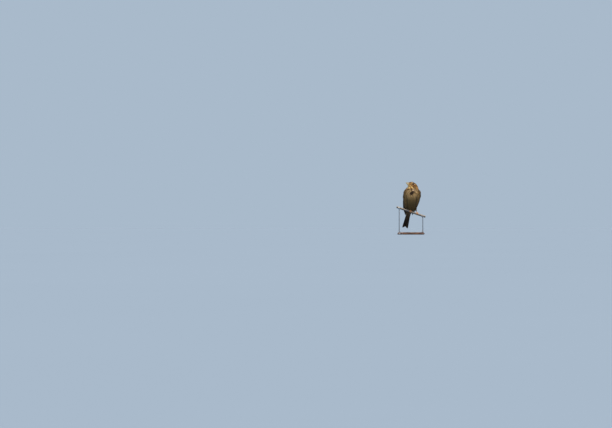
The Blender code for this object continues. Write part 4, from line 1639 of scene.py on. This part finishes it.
    def build(self, finish: Material, rng: np.random.Generator) -> Object:
        """Makes the wing's feathers as one piece in the place of the CAD wing."""
        feathers = [feather for row in WING_ROWS for feather in self.row_vanes(row, rng)]
        name = f"wing_{self.side.word}"
        obj = large_vanes(f"{name}_feathers", feathers, 0.22, 0.1)
        return finished(obj, finish, (name,))


def large_vanes(name: str, feathers: list[Feather], thickness: float, cup: float) -> Object:
    """Makes flight feathers or coverts into one mesh.

    Args:
        name: the piece's name.
        feathers: the feathers, lowest first.
        thickness: of a vane, in millimetres.
        cup: how much a vane is cupped across.

    Returns:
        The mesh object.
    """
    centre, normal, half, lead, mark, ground, dark, tone = (
        np.array([getattr(feather, part.name) for feather in feathers]) for part in fields(Feather)
    )
    ground, dark = (linear(np.array([srgb(code) for code in codes])) for codes in (ground, dark))
    values = {"ground": ground, "centre": dark, "mark": mark, "tone": tone}
    count, rows = half.shape
    thick, cups, sweep = (np.full(count, value) for value in (thickness * MM / 2, cup, 0.3 * MM))
    vanes = Vanes(
        BLADE, centre, normal, half, thick, cups, sweep, stations(rows), values, *packed(count), lead
    )
    return vanes.mesh_object(name)


@dataclass(frozen=True)
class TailCoverts:
    """A row of coverts round the tail's base, over it or under it, in millimetres from the tail's root."""

    over: int
    count: int
    reach: Pair
    width: Pair
    depth: Pair
    half: float
    mark: float
    ground: str
    centre: str = "2b2015"


TAIL_COVERTS = (
    TailCoverts(1, 5, (8, 30), (5.6, 5.4), (3.6, 1.3), 2.3, 0.66, "5f4b2c"),
    TailCoverts(1, 7, (5, 25), (7.0, 6.2), (4.6, 1.9), 2.3, 0.6, "66502f"),
    TailCoverts(1, 8, (2, 19), (8.0, 7.0), (5.4, 2.8), 2.2, 0.5, "6e5633"),
    # The rows under the tail are darker than the coverts' own pale buff: painted shade.
    TailCoverts(-1, 5, (9, 34), (5.6, 5.2), (4.6, 1.2), 2.4, 0.4, "4f3f28"),
    TailCoverts(-1, 7, (6, 28), (7.0, 6.4), (6.4, 1.9), 2.4, 0.36, "54432b"),
    TailCoverts(-1, 9, (2, 21), (8.4, 7.6), (8.0, 3.0), 2.4, 0.3, "59462a"),
)


@dataclass
class Tail:
    """Twelve tail feathers, folded narrow, with a notch: the middle pair on top, the outer ones lowest."""

    root: Triple = (-5.6, 24.0, 4.0)
    tip: Triple = (-20.6, 48.6, -56.6)
    pairs: int = 6
    notch: float = 5.0
    crown: float = 0.9
    set_in: float = -0.9
    shift: float = -1.0
    root_places: Pair = (0.9, 4.6)
    tip_places: Pair = (1.8, 8.8)
    half: Pair = (3.4, 3.6)
    layers: Pair = (0.8, -0.7)

    def axes(self) -> tuple[Array, Array, Array, Array]:
        """The tail's root in millimetres, and its ways along, to the left and up."""
        root, tip = np.array(self.root), np.array(self.tip)
        way = unit(tip - root)
        side = unit(np.array([1.0, 0, 0]) - way * way[0])
        return root, way, side, np.cross(side, way)

    def vane(self, pair: int, hand: int, shares: Array, rng: np.random.Generator) -> Feather:
        """One tail feather, on the left at hand 1 or on the right at hand -1."""
        root, way, side, top = self.axes()
        length = np.linalg.norm(np.array(self.tip) - root)
        share = pair / (self.pairs - 1)
        ends = part_way(self.root_places, share), part_way(self.tip_places, share**0.9)
        off = hand * part_way(ends, shares) + self.shift
        reach = (length - self.notch * (1 - share) ** 1.3 - 0.6 * share + rng.normal(0, 0.25)) * shares
        camber = self.crown * (1 - (off / 9.6) ** 2)
        level = camber + part_way(self.layers, share) * (1 - 0.35 * shares) + 0.08 * hand + self.set_in
        spots = root + np.outer(reach, way) + np.outer(off, side) + np.outer(level, top)
        slope = 2 * self.crown * off / 9.6**2
        half = part_way(self.half, share) * np.maximum(outline(shares, 0.88), 0.7 * (shares < 0.5)) * MM
        normal = unit(top + np.outer(slope, side))
        # The tail's dark brown is partly its own colour and partly painted shade; the outermost pair is a
        # little paler.
        mark, ground = (0.86, "3f3222") if share < 0.9 else (0.78, "57462f")
        tone = 1 + rng.normal(0, 0.05)
        return Feather((spots + PERCH) * MM, normal, half, hand * 0.5 * share, mark, ground, "18120c", tone)

    def covert(self, row: TailCoverts, number: int, shares: Array, rng: np.random.Generator) -> Feather:
        """One covert of a row, on an arch over or under the tail's base."""
        root, way, side, top = self.axes()
        turn = math.radians(-78 + 156 * number / (row.count - 1)) + rng.normal(0, 0.05)
        width = part_way(row.width, shares) * math.sin(turn) + self.shift
        depth = part_way(row.depth, shares) * math.cos(turn) * row.over + self.set_in - 1.4 * (1 - shares)
        reach = row.reach[0] + (row.reach[1] - row.reach[0] + rng.normal(0, 0.8)) * shares
        spots = root + np.outer(reach, way) + np.outer(width, side) + np.outer(depth, top)
        normal = side * math.sin(turn) / row.width[0] + top * row.over * math.cos(turn) / row.depth[0]
        normal = np.tile(unit(normal), (len(shares), 1))
        half = row.half * outline(shares, 0.55) * MM
        mark, tone = row.mark * (1 + rng.normal(0, 0.1)), 1 + rng.normal(0, 0.06)
        return Feather((spots + PERCH) * MM, normal, half, 0.05, mark, row.ground, row.centre, tone)

    def build(self, finish: Material, rng: np.random.Generator) -> None:
        """Makes the tail feathers and their coverts, two pieces, in the place of the CAD tail."""
        shares = stations(15)
        order = [(pair, hand) for pair in reversed(range(self.pairs)) for hand in (1, -1)]
        vanes = [self.vane(pair, hand, shares, rng) for pair, hand in order]
        finished(large_vanes("tail_feathers", vanes, 0.24, 0.08), finish, ("tail",))
        coverts = [self.covert(row, i, shares, rng) for row in TAIL_COVERTS for i in range(row.count)]
        finished(large_vanes("tail_coverts", coverts, 0.16, 0.25), finish)


# --- bill, eyes and feet


@dataclass
class Bill:
    """Heavy bunting bill: two mandibles that meet along a kinked cutting edge.

    Rings are (forward of the eyes, height, half width, reach down, reach up) in the head's axes, and
    the bite line is (forward, height).
    """

    head: HeadFrame
    around: int = 30
    along: int = 34
    rings: Table = (
        (3.6, -4.1, 4.1, 4.9, 4.4),
        (8.6, -4.2, 4.0, 4.7, 4.25),
        (12.6, -4.5, 3.35, 4.0, 3.6),
        (16.6, -5.0, 2.25, 2.7, 2.5),
        (19.6, -5.6, 1.15, 1.3, 1.3),
        (21.5, -6.1, 0.18, 0.22, 0.3),
    )
    bite: tuple[Series, Series] = (
        (2.0, 7.2, 10.2, 14.6, 18.6, 21.6),
        (-8.0, -6.8, -4.6, -4.9, -5.7, -6.25),
    )
    nostril: Pair = (9.7, 57.0)
    gap: float = 0.07

    def mandible(self, upper: bool) -> Object:
        """One mandible as a closed mesh, with its own dark or pale horn value at each point."""
        points, horn = [], []
        for step in range(self.along):
            share = step / (self.along - 1)
            ahead, middle, side, low, high = spline_at(self.rings, share)
            side, low, high = max(side, 0.12), max(low, 0.14), max(high, 0.18)
            edge = float(np.interp(ahead, *self.bite)) - middle
            reach = high if edge > 0 else low
            start = math.asin(min(max(edge / reach, -0.96), 0.96))
            sweep = math.pi - 2 * start if upper else -(math.pi + 2 * start)
            trim, shift = (1.0, self.gap) if upper else (0.955, -self.gap)
            for i in range(self.around):
                turn = start + sweep * i / (self.around - 1)
                rise = math.sin(turn)
                out = math.copysign(abs(math.cos(turn)) ** (1.0 if upper else 0.92), math.cos(turn))
                height = rise * (high if rise > 0 else low)
                dent = 0.0
                if upper:
                    angle = math.degrees(math.asin(min(1.0, max(0.0, rise))))
                    far = math.hypot((ahead - self.nostril[0]) / 0.75, (angle - self.nostril[1] + 14) / 11)
                    dent = 0.4 * math.exp(-far * far)
                scale = (1 - dent / max(side, 1.0)) * trim
                points.append(self.head.world(out * side * scale, ahead, middle + height * scale + shift))
                # The nostril's dent is painted darker, as shade in its opening.
                horn.append(self.horn_value(upper, rise, share) + 1.6 * dent)
            for i in range(1, 6):  # the roof or floor of the mouth, slightly hollow
                across = 1 - 2 * i / 6
                flat = edge + (0.25 if upper else -0.25) * math.sin(math.pi * i / 6)
                width = side * math.cos(start) * -across * trim
                points.append(self.head.world(width, ahead, middle + flat + shift))
                horn.append(0.6)
        name = "bill_upper_horn" if upper else "bill_lower_horn"
        return tube(name, self.along, points, "horn", np.clip(horn, 0, 1))

    @staticmethod
    def horn_value(upper: bool, rise: float, share: float) -> float:
        """How dark the horn is: a dark ridge and tip over a straw cutting edge and lower mandible."""
        if upper:
            return 0.22 + 0.68 * float(smooth(rise, 0.25, 0.95)) + 0.25 * share**4
        return 0.05 + 0.3 * float(smooth(share, 0.72, 1.0)) + 0.1 * float(smooth(-rise, 0.8, 1.0))

    def build(self) -> None:
        """Makes both mandibles."""
        finish = HornFinish("bill keratin", "d9c08c", "4a3f39", 2.4).build()
        for upper in (True, False):
            node = "bill_upper" if upper else "bill_lower"
            finished(self.mandible(upper), finish, (node,), 50)


@dataclass
class Eye:
    """Eyeball with its glossy cornea, and the bare, beaded rim of its lids."""

    head: HeadFrame
    side: Side
    radius: float = 3.25
    opening: float = 2.2
    lid: float = 0.42
    rim_angle: float = 45.0

    def build(self, cornea: Material, rim: Material) -> None:
        """Makes the eyeball and the lids."""
        node = f"eye_{self.side.word}"
        middle = Vector(box_middle(node))
        out = Vector(self.head.axes[0]) * self.side.value
        turn = out.to_track_quat("Z", "Y").to_euler()
        size = {"segments": 48, "ring_count": 32, "radius": self.radius * MM}
        ball = settled(primitive("uv_sphere", f"{node}_ball", location=middle, rotation=turn, **size))
        angles = [math.degrees((v.co - middle).angle(out)) for v in ball.data.vertices]
        add_point_values(ball, "ring", np.array(angles) / self.rim_angle)
        finished(ball, cornea, (node,))

        level = math.sqrt(self.radius**2 - self.opening**2)
        size = {"major_radius": self.opening * MM, "minor_radius": self.lid * MM}
        size |= {"major_segments": 56, "minor_segments": 12}
        spot = middle + out * (level + 0.04) * MM
        lids = settled(primitive("torus", f"{node}_lids", location=spot, rotation=turn, **size))
        for vert in lids.data.vertices:  # small beads along the rim
            arm = vert.co - spot
            around = math.atan2(arm.dot(Vector(self.head.axes[2])), arm.dot(Vector(self.head.axes[1])))
            ring = (arm - out * arm.dot(out)).normalized() * self.opening * MM
            vert.co = spot + ring + (arm - ring) * (1 + 0.16 * math.cos(around * 22))
            vert.co -= Vector(self.head.axes[2]) * arm.dot(Vector(self.head.axes[2])) * 0.08
        finished(lids, rim)


@dataclass(frozen=True)
class Toe:
    """A toe round the wire: where it ends, how far it spreads, how thick it is, and its claw's sweep."""

    end_angle: float
    spread: float
    thickness: float
    claw_angle: float
    joints: int


# A place in metres, the radius there in millimetres, and the way that the plated side faces.
Station = tuple[Vector, float, Vector]


@dataclass
class Foot:
    """Perching foot: scaled tarsus, four padded toes round the wire, and their curved claws."""

    side: Side
    run: float
    knee: Triple
    thigh: Triple
    pad_angle: float = -14.0
    pad_overlap: float = 7.0
    toe_lift: float = 1.0
    plate: float = 1.15
    toes: tuple[tuple[str, Toe], ...] = (
        ("inner", Toe(112.0, 4.6, 1.12, 48.0, 3)),
        ("middle", Toe(136.0, 0.7, 1.22, 46.0, 4)),
        ("outer", Toe(112.0, -4.2, 1.12, 48.0, 5)),
        ("hind", Toe(-122.0, -0.5, 1.1, -62.0, 2)),
    )

    def limb(self, name: str, line: list[Station], joints: int = 0, claw: bool = False) -> Object:
        """A closed tube with scaled plates outside and soft pads inside, or a plain claw.

        Args:
            name: the object's name.
            line: stations along it.
            joints: how many pads it has.
            claw: whether it is a claw, smooth and flattened from side to side.

        Returns:
            The object, with its scute or horn value at each point.
        """
        ring, count = 14, len(line)
        points, values = [], []
        spots = [station[0] for station in line]
        length = sum((b - a).length for a, b in zip(spots, spots[1:])) / MM
        for i, (spot, radius, out) in enumerate(line):
            share = i / (count - 1)
            way = (spots[min(i + 1, count - 1)] - spots[max(i - 1, 0)]).normalized()
            up = (out - way * out.dot(way)).normalized()
            across = way.cross(up)
            phase = (share * length / self.plate) % 1.0
            ridge = min(phase, 1 - phase) * 2
            for j in range(ring):
                turn = math.tau * j / ring
                face = math.cos(turn)
                if claw:
                    size = radius * (0.8 + 0.2 * abs(face))
                    values.append(0.25 + 0.75 * share)
                else:
                    plated = max(face, 0.0)
                    pad = max(-face, 0.0) * abs(math.sin(math.pi * joints * share))
                    size = radius * (0.95 + 0.07 * plated * min(1.0, ridge * 3) + 0.16 * pad)
                    values.append(min(1.0, 0.25 + ridge * 2.2) if face > 0.1 else 0.8 + 0.2 * pad)
                points.append(spot + (up * face + across * math.sin(turn)) * size * MM)
        return tube(name, count, points, "horn" if claw else "scute", values)

    def toe_line(self, toe: Toe, count: int = 40) -> list[Station]:
        """A toe from the foot's pad round the wire."""
        line = []
        start = self.pad_angle - math.copysign(self.pad_overlap, toe.end_angle)
        for step in range(count):
            share = step / (count - 1)
            angle = start + (toe.end_angle - start) * share
            radius = toe.thickness * (1 - 0.3 * share)
            clear = WIRE_RADIUS + radius * 1.02 + self.toe_lift * (1 - share) ** 2
            spread = toe.spread * (0.14 + 0.86 * share**0.8)
            spot = wire_place(self.run + self.side.value * spread, angle, clear)
            line.append((spot, radius, self.outward(spot)))
        return line

    def claw_line(self, toe: Toe, count: int = 18) -> list[Station]:
        """The claw that goes on from a toe's end."""
        line = []
        base = toe.thickness * 0.62
        for step in range(count):
            share = step / (count - 1)
            angle = toe.end_angle + toe.claw_angle * (share - 0.12)
            clear = WIRE_RADIUS + base + 0.25 + 0.9 * math.sin(math.pi * share) + 0.35 * share
            run = self.run + self.side.value * toe.spread * (1 + 0.12 * share)
            spot = wire_place(run, angle, clear)
            line.append((spot, base * (1 - share) ** 0.75 + 0.06, self.outward(spot)))
        return line

    @staticmethod
    def outward(spot: Vector) -> Vector:
        """The way off the wire's axis at a place."""
        arm = spot - place(0, 0, 0)
        return (arm - WIRE_WAY * arm.dot(WIRE_WAY)).normalized()

    def leg_line(self, count: int = 36) -> list[Station]:
        """The tarsus, from the pad up into the thigh, with its plates in front."""
        pad = wire_place(self.run, self.pad_angle, WIRE_RADIUS + 1.9)
        knots = [pad / MM, Vector(self.knee) + Vector(PERCH), Vector(self.thigh) + Vector(PERCH)]
        knots = np.column_stack([np.array(knots), (1.5, 1.05, 1.3)])
        values = [spline_at(knots, i / (count - 1)) for i in range(count)]
        return [(Vector(v[:3]) * MM, float(v[3]), Vector((0, -1, 0.2))) for v in values]

    def build(self, skin: Material, horn: Material) -> None:
        """Makes the leg with its toes as one piece, and each claw as a piece."""
        word = self.side.word
        parts = [self.limb("leg", self.leg_line())]
        for name, toe in self.toes:
            parts.append(self.limb(name, self.toe_line(toe), toe.joints))
            claw = self.limb(f"claw_{word}_{name}_horn", self.claw_line(toe), claw=True)
            finished(claw, horn, (f"claw_{word}_{name}",))
        finished(joined(f"foot_{word}_scaled", parts), skin, (f"foot_{word}",))


# --- perch and stand


@dataclass
class PerchCable:
    """Cut length of sheathed overhead cable: bevelled, hollow-looking ends that show its strands."""

    wall: float = 0.8
    recess: float = 0.7
    strand: float = 0.62
    strand_length: float = 8.0
    segments: int = 56

    def build(self) -> None:
        """Makes the sheath and the strands at its two ends."""
        length, middle = 2 * WIRE_HALF_LENGTH, wire_place(0, 0, 0)
        sheath = cylinder("perch_cable_sheath", middle, WIRE_RADIUS, length, ALONG_WIRE, self.segments)
        bpy.ops.object.mode_set(mode="EDIT")
        mesh = bmesh.from_edit_mesh(sheath.data)
        for face in mesh.faces:
            face.select = len(face.verts) > 4
        mesh.select_flush_mode()
        bmesh.update_edit_mesh(sheath.data)
        bpy.ops.mesh.inset(thickness=self.wall * MM, use_individual=True)
        bpy.ops.mesh.extrude_region_shrink_fatten(
            TRANSFORM_OT_shrink_fatten={"value": -self.recess * MM, "use_even_offset": False}
        )
        bpy.ops.object.mode_set(mode="OBJECT")
        finished(bevelled(settled(sheath), 0.22), SheathFinish().build(), ("perch_wire",), 40)

        strands = []
        for end in (-1, 1):
            run = end * (WIRE_HALF_LENGTH - self.recess / 2 - self.strand_length / 2)
            for i in range(7):
                off = 0.0 if i == 6 else self.strand * 2.04
                spot = wire_place(run, 60 * i, off)
                strands.append(cylinder("strand", spot, self.strand, self.strand_length, ALONG_WIRE, 20))
        cores = bevelled(settled(joined("perch_cable_strands", strands)), 0.12, 2)
        finish = MetalFinish("drawn hard copper", "bf8058", "9a5f3d", 0.36, WIRE_SLOPE - math.pi / 2).build()
        finished(cores, finish, (), 40)


@dataclass
class DisplayStand:
    """Turned walnut base with a cove and bead, two brushed steel rods, and the saddles under the cable."""

    radius: float = 48.0
    thickness: float = 8.0
    rod: float = 1.8
    rod_offset: float = 41.0
    saddle: float = 4.8
    saddle_length: float = 7.0
    room: float = 3.05
    collar: float = 3.6
    collar_height: float = 2.4
    segments: int = 144
    profile: tuple[Pair, ...] = (
        (0.0, 8.0), (40.6, 8.0), (41.4, 7.6), (42.0, 7.6), (42.8, 7.9), (43.6, 8.0), (44.8, 7.7),
        (45.5, 7.0), (45.7, 6.3), (45.7, 5.7), (46.2, 5.2), (47.1, 4.9), (47.8, 4.2), (48.0, 3.3),
        (47.8, 2.4), (47.2, 1.7), (46.5, 1.4), (46.3, 1.1), (46.3, 0.5), (45.9, 0.0), (0.0, 0.0),
    )

    def base(self) -> None:
        """Turns the base: a profile of edges spun round the upright axis."""
        mesh = bpy.data.meshes.new("stand_base_turned")
        edges = [(i, i + 1) for i in range(len(self.profile) - 1)]
        mesh.from_pydata([(x * MM, 0, z * MM) for x, z in self.profile], edges, [])
        obj = link("stand_base_turned", mesh)
        select_only(obj)
        bpy.ops.object.mode_set(mode="EDIT")
        bpy.ops.mesh.select_all(action="SELECT")
        bpy.ops.mesh.spin(steps=self.segments, angle=math.tau, center=(0, 0, 0), axis=(0, 0, 1))
        bpy.ops.mesh.select_all(action="SELECT")
        bpy.ops.mesh.remove_doubles(threshold=0.01 * MM)
        bpy.ops.mesh.normals_make_consistent(inside=False)
        bpy.ops.object.mode_set(mode="OBJECT")
        finished(obj, WoodFinish().build(), ("stand_base",), 32)

    def post(self, name: str, offset: float, finish: Material) -> None:
        """Makes one rod with its collar and its half-round saddle."""
        run = offset / math.cos(WIRE_SLOPE)
        top = wire_place(run, 0, 0)
        bottom = (self.thickness + 0.1) * MM
        height = top.z - 3.4 * MM - bottom
        rod = settled(cylinder("rod", Vector((top.x, 0, bottom + height / 2)), self.rod, height / MM))
        spot = Vector((top.x, 0, bottom + self.collar_height * MM / 2))
        collar = settled(cylinder("collar", spot, self.collar, self.collar_height))
        saddle = settled(cylinder("saddle", top, self.saddle, self.saddle_length, ALONG_WIRE))
        room = settled(cylinder("room", top, self.room, self.saddle_length * 3, ALONG_WIRE))
        saddle = applied(saddle, "BOOLEAN", operation="DIFFERENCE", object=room, solver="EXACT")
        bpy.data.objects.remove(room)
        select_only(saddle)
        bpy.ops.object.mode_set(mode="EDIT")
        bpy.ops.mesh.select_all(action="SELECT")
        cut = top + WIRE_UP * 0.4 * MM
        bpy.ops.mesh.bisect(plane_co=cut, plane_no=WIRE_UP, clear_outer=True, use_fill=True)
        bpy.ops.object.mode_set(mode="OBJECT")
        parts = [bevelled(part, 0.3) for part in (rod, collar, saddle)]
        finished(joined(f"{name}_steel", parts), finish, (name,), 35)

    def build(self) -> None:
        """Makes the base and both posts."""
        self.base()
        finish = MetalFinish("brushed stainless steel", "bcbec0", "9ea0a2", 0.32).build()
        self.post("stand_rod_left", self.rod_offset, finish)
        self.post("stand_rod_right", -self.rod_offset, finish)


# --- stage


@dataclass
class Studio:
    """Pale floor, soft lights and the camera, level with the perch and looking a little past the bird."""

    lens: float = 90.0
    sensor: float = 36.0
    view_width: float = 2.142
    aim: Triple = (-0.3675, 0.0, 0.072)
    height: float = 0.022
    floor_size: float = 400.0
    floor_code: str = "8f9fb1"
    floor_shade: str = "8d9daf"
    air_code: str = "a9bacb"

    @staticmethod
    def light(name: str, source: Triple, spread: float, power: float, code: str) -> None:
        """Adds a broad, even light from a far source; spread is how wide it looks, in degrees."""
        data = bpy.data.lights.new(name, "SUN")
        data.angle, data.energy = math.radians(spread), power
        data.color = paint(code)[:3]
        lamp = bpy.data.objects.new(name, data)
        lamp.location = source
        lamp.rotation_euler = (-Vector(source)).to_track_quat("-Z", "Y").to_euler()
        lamp.visible_diffuse = not name.startswith("glint")
        bpy.context.scene.collection.objects.link(lamp)

    def camera(self) -> None:
        """Sets the camera so that its view is as wide at the bird as the framing asks."""
        data = bpy.data.cameras.new("camera")
        data.lens, data.sensor_width = self.lens, self.sensor
        distance = self.view_width * self.lens / self.sensor
        camera = bpy.data.objects.new("camera", data)
        camera.location = (0.0, -distance, self.height)
        camera.rotation_euler = (Vector(self.aim) - camera.location).to_track_quat("-Z", "Y").to_euler()
        data.clip_end = 600.0
        bpy.context.scene.collection.objects.link(camera)
        bpy.context.scene.camera = camera

    def build(self) -> None:
        """Makes the floor, the lights and the pale surroundings."""
        floor = primitive("plane", "floor", size=self.floor_size)
        finish = PlainFinish("matt pale floor", self.floor_code, self.floor_shade, specular=0.0)
        floor.data.materials.append(finish.build())
        self.light("key", (0.25, -0.75, 1.5), 20.0, 3.25, "ffeed6")
        self.light("top", (-0.6, 0.9, 1.8), 60.0, 0.6, "fbfcff")
        # For the gloss of eyes and bill only.
        self.light("glint_left", (0.75, -0.5, 0.45), 12.0, 0.6, "fbfcff")
        self.light("glint_right", (-0.4, 0.75, 0.55), 12.0, 0.6, "fbfcff")
        world = bpy.data.worlds.new("studio")
        world.use_nodes = True
        background = world.node_tree.nodes["Background"]
        background.inputs["Color"].default_value = paint(self.air_code)
        background.inputs["Strength"].default_value = 1.0
        bpy.context.scene.world = world
        bpy.context.scene.view_settings.view_transform = "Standard"


def main() -> None:
    """Builds every piece in order."""
    logging.basicConfig(level=logging.INFO, format="%(message)s")
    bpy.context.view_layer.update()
    bpy.ops.object.select_all(action="DESELECT")
    studio = Studio()
    studio.camera()

    head = HeadFrame.measured()
    plumage = Plumage(head)
    skin = Skin(plumage)
    skin.build()
    wings = [FoldedWing(side) for side in Side]
    for wing in wings:
        wing.measure()
    Coat(plumage, skin, wings).build()

    rng = np.random.default_rng(SEED + 1)
    flight = VaneFinish("flight feather vane", 34, 0.42, 0.3, 0.04, "1f160d", 0.78, 0.6).build()
    for wing in wings:
        wing.build(flight, rng)
    Tail().build(flight, rng)

    Bill(head).build()
    cornea, rim = EyeFinish().build(), PlainFinish("bare lid skin", "4f3d2b", "775d43", 0.6, 0.5).build()
    for side in Side:
        Eye(head, side).build(cornea, rim)
    leg, claw = LegFinish().build(), HornFinish("claw keratin", "8a6a4e", "2c211a", 1.0, 0.4).build()
    Foot(Side.RIGHT, -1.6 / math.cos(WIRE_SLOPE), (-2.4, 2.2, 6.4), (-4.4, 6.6, 12.6)).build(leg, claw)
    Foot(Side.LEFT, 20.8 / math.cos(WIRE_SLOPE), (18.8, 2.6, 1.8), (16.0, 6.6, 10.6)).build(leg, claw)

    PerchCable().build()
    DisplayStand().build()
    studio.build()


if __name__ == "__main__":
    main()
